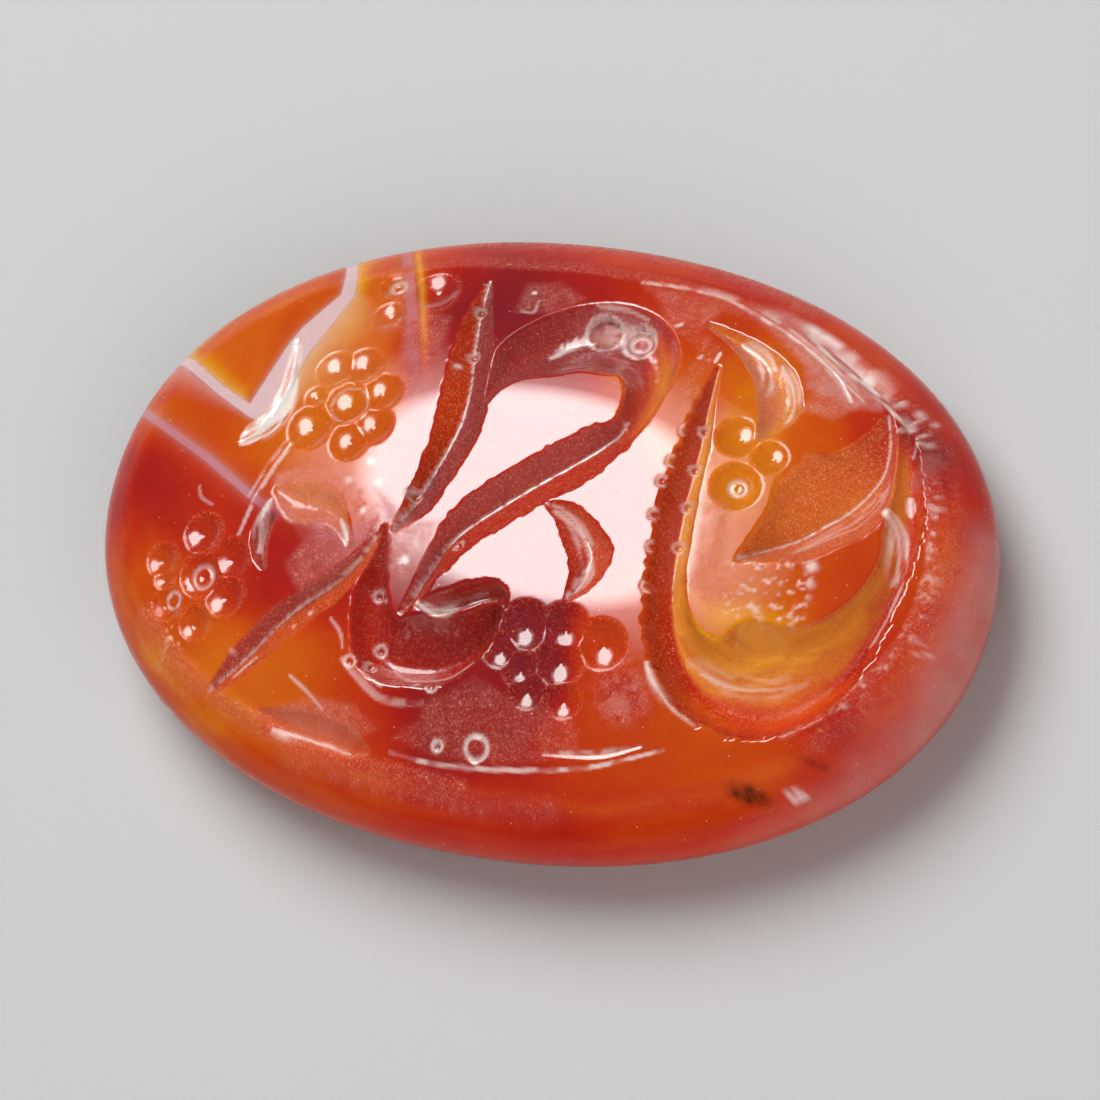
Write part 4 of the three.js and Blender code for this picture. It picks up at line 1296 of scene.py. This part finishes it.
print("crimson is", [round(v, 3) for v in paint("84121c")])

# %% [markdown]
# ## Surround
# Round the lamps the studio is nearly dark, or its reflection would wash out the red. A pale paper sweep
# stands behind the floor, so the picture's background is pale, and what the rim mirrors low down is pale
# too. Only the camera and the reflections see it, so that it lights nothing.

# %% Surround
STUDIO_LIGHT, LOW_REFLECTION, BACKGROUND = 0.05, 0.12, 0.55
WHITE = (1.0, 1.0, 1.0, 1.0)
world = bpy.data.worlds.new("studio")
world.use_nodes = True
air = Shade(world.node_tree, None)
seen_by_camera = air.node("ShaderNodeLightPath", out="Is Camera Ray")
mirrored = air.node("ShaderNodeLightPath", out="Is Glossy Ray")
way = air.node("ShaderNodeTexCoord", out="Generated")
low_down = 1 - air.node("ShaderNodeSeparateXYZ", {}, {0: way}, out="Z").between(0.0, 0.22)
strength = STUDIO_LIGHT + mirrored * low_down * LOW_REFLECTION + seen_by_camera * BACKGROUND
backdrop = world.node_tree.nodes["Background"].inputs
world.node_tree.links.new(strength.socket, backdrop["Strength"])
backdrop["Color"].default_value = WHITE
bpy.context.scene.world = world
print("surround ready:", len(world.node_tree.nodes), "nodes")

# %% [markdown]
# ## Carnelian
# Polished carnelian is translucent and very smooth. Light enters, is dyed and comes out a little further
# on, which a subsurface weight gives. A coat on top gives the wet-looking mirror. In the cuts the wheel
# left crushed grain: the coat goes, the roughness rises, a fine bump breaks up the light, and pale specks
# paint part of its sparkle. The shoulder was polished less, so its coat is thin, and towards the rim the
# colour is painted a brighter red, a painted glow for light that comes through the thin edge.
# The layers differ in how far light travels in them and in the tint of their milk.

# %% Carnelian
WARMTH_STOPS = [
    (0.0, paint("741a2c")), (0.14, paint("8c191c")), (0.28, paint("a81c12")), (0.42, paint("ba300c")),
    (0.56, paint("c44a08")), (0.7, paint("cd600c")), (0.84, paint("da860e")), (1.0, paint("eea41e")),
]


def carnelian(name, milk_colour, travel):
    """The finish of one layer. Light travels this far in it, in mm."""
    material = bpy.data.materials.new(name)
    material.use_nodes = True
    tree = material.node_tree
    shader = tree.nodes["Principled BSDF"]
    start = Shade(tree, None)

    def mask(label):
        settings = {"attribute_type": "GEOMETRY", "attribute_name": label}
        return start.node("ShaderNodeAttribute", settings, out=2)

    place = start.node("ShaderNodeTexCoord", out=3)
    in_mm = start.node("ShaderNodeVectorMath", {"operation": "SCALE"}, {0: place, "Scale": 1 / MM})

    def noise(per_mm, detail=2.0):
        return start.node("ShaderNodeTexNoise", {}, {"Vector": in_mm, "Scale": per_mm, "Detail": detail})

    warmth, milk, pale, frost, dark = (mask(label) for label in MASKS)
    slow, cloudy, sand, dust = noise(0.7), noise(3.5, 3.0), noise(14.0, 3.0), noise(26.0, 1.0)
    up = start.node("ShaderNodeSeparateXYZ", {}, {0: in_mm}, out=2)
    polish = up.between(ARRIS - 0.12, ARRIS + 0.12)
    glow = 1 - up.between(GIRDLE + 0.2, ARRIS)
    layered = start.node("ShaderNodeVectorMath", {"operation": "MULTIPLY"}, {0: in_mm, 1: (0.3, 0.9, 2.6)})
    streaks = start.node("ShaderNodeTexNoise", {}, {"Vector": layered, "Scale": 1.0, "Detail": 3.0})
    shown = warmth + (slow - 0.5) * 0.16 + (cloudy - 0.5) * 0.08 + (streaks - 0.5) * 0.5 * (1 - polish)
    colour = start.node("ShaderNodeValToRGB", {"stops": WARMTH_STOPS}, {"Fac": shown})
    # painted glow: towards the rim the colour goes over into a brighter red, for light that comes through
    # the thin edge
    colour = (glow * 0.45).mix(colour, paint("e23012"))
    crushed = (sand.between(0.48, 0.7) * 0.38 + dust.between(0.54, 0.74) * 0.5) * frost
    colour = crushed.mix(colour, paint("e88e60"))
    pitted = (1 - dust).between(0.5, 0.7) * frost * 0.22
    colour = pitted.mix(colour, paint("4e0c10"))
    colour = (milk * (0.82 + cloudy * 0.3)).held().mix(colour, milk_colour)
    # pale covers white crushed grit and also painted highlights: the glints, the bright bottom lines of the
    # V-cuts, the bead rims and the eye
    colour = (pale * (0.7 + sand * 0.6)).held().mix(colour, paint("f3e4de"))
    colour = dark.mix(colour, paint("241410"))
    # pale specks: dust and grit on the stone, and in the frosted cuts a painted sparkle of light on the
    # grain
    specks = start.node("ShaderNodeTexVoronoi", {}, {"Vector": in_mm, "Scale": 5.0})
    dots = (1 - specks.between(0.05, 0.12)) * cloudy.between(0.5, 0.62) * 0.6
    dots = dots + dust.between(0.66, 0.76) * frost * 0.5
    colour = dots.held().mix(colour, paint("f0c4ac"))

    height = sand * frost * 0.7 + cloudy * frost * 0.3 + dots * 0.2
    bump = start.node("ShaderNodeBump", {}, {"Height": height, "Strength": 0.8, "Distance": 0.05 * MM})
    links = {
        "Base Color": colour,
        "Roughness": 0.07 + frost * 0.36 + dots * 0.2 + (1 - polish) * 0.1,
        "Coat Weight": (1 - frost * 1.15).held() * (0.06 + polish * 0.94),
        "Normal": bump,
    }
    for socket, value in links.items():
        tree.links.new(value.socket, shader.inputs[socket])
    constants = {
        "IOR": 1.45, "Specular IOR Level": 0.12, "Coat IOR": 1.85, "Coat Roughness": 0.05,
        "Subsurface Weight": 0.45, "Subsurface Radius": (1.0, 0.35, 0.12), "Subsurface Scale": travel * MM,
    }
    for socket, value in constants.items():
        shader.inputs[socket].default_value = value
    return material


print("finish ready, from crimson to amber in", len(WARMTH_STOPS), "steps")

# %% Floor finish
SWEEP_LIGHT, FLOOR_ENDS, SWEEP_STARTS = 0.58, 50, 200
floor_finish = bpy.data.materials.new("pale floor")
floor_finish.use_nodes = True
floor_shader = floor_finish.node_tree.nodes["Principled BSDF"]
floor_shader.inputs["Base Color"].default_value = (FLOOR_GREY, FLOOR_GREY, FLOOR_GREY, 1.0)
floor_shader.inputs["Roughness"].default_value = 0.9
# far from the stone the floor goes over into the pale sweep behind it, for the camera only
ground = Shade(floor_finish.node_tree, floor_shader.outputs[0])
spot = ground.node("ShaderNodeTexCoord", out=3)
distance = ground.node("ShaderNodeVectorMath", {"operation": "LENGTH"}, {0: spot}, out="Value")
seen = ground.node("ShaderNodeLightPath", out="Is Camera Ray")
sweep = ground.node("ShaderNodeEmission", {}, {"Color": WHITE, "Strength": SWEEP_LIGHT})
far = distance.between(FLOOR_ENDS * MM, SWEEP_STARTS * MM)
both = ground.node("ShaderNodeMixShader", {}, {0: far * seen, 1: ground, 2: sweep})
surface = floor_finish.node_tree.nodes["Material Output"].inputs["Surface"]
floor_finish.node_tree.links.new(both.socket, surface)
floor_mesh.materials.append(floor_finish)
print("floor finish ready:", len(floor_finish.node_tree.nodes), "nodes")

# %% [markdown]
# ## Setting the layers in place
# Each layer stands for its own CAD node, rides on the stone's one body and takes a finish named after
# its slot.

# %% Setting the layers in place
# the piece, the node it stands for, its slot, the colour of its milk and how far light travels in it
layers = {
    "wedge": ("engraved_wedge", "wedge_core", "orange_chalcedony", "d6a8a8", 0.5),
    "white": ("engraved_white_layer", "white_seam", "white_chalcedony", "dcbcbe", 0.15),
    "amber": ("engraved_amber_layer", "amber_zone", "amber_carnelian", "d6a8a8", 0.5),
    "lilac": ("engraved_lilac_layer", "lilac_seam", "lilac_chalcedony", "c89cb0", 0.1),
    "body": ("engraved_red_stone", "red_body", "red_carnelian", "c8908c", 0.5),
}
for name, (piece_name, node, slot, milk, travel) in layers.items():
    mesh = layer_meshes[name]
    mesh.transform(Matrix.Scale(MM, 4))
    mesh.materials.clear()
    mesh.materials.append(carnelian(slot.replace("_", " "), paint(milk), travel))
    piece = put(piece_name, mesh)
    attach(piece, "root")
    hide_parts(node)
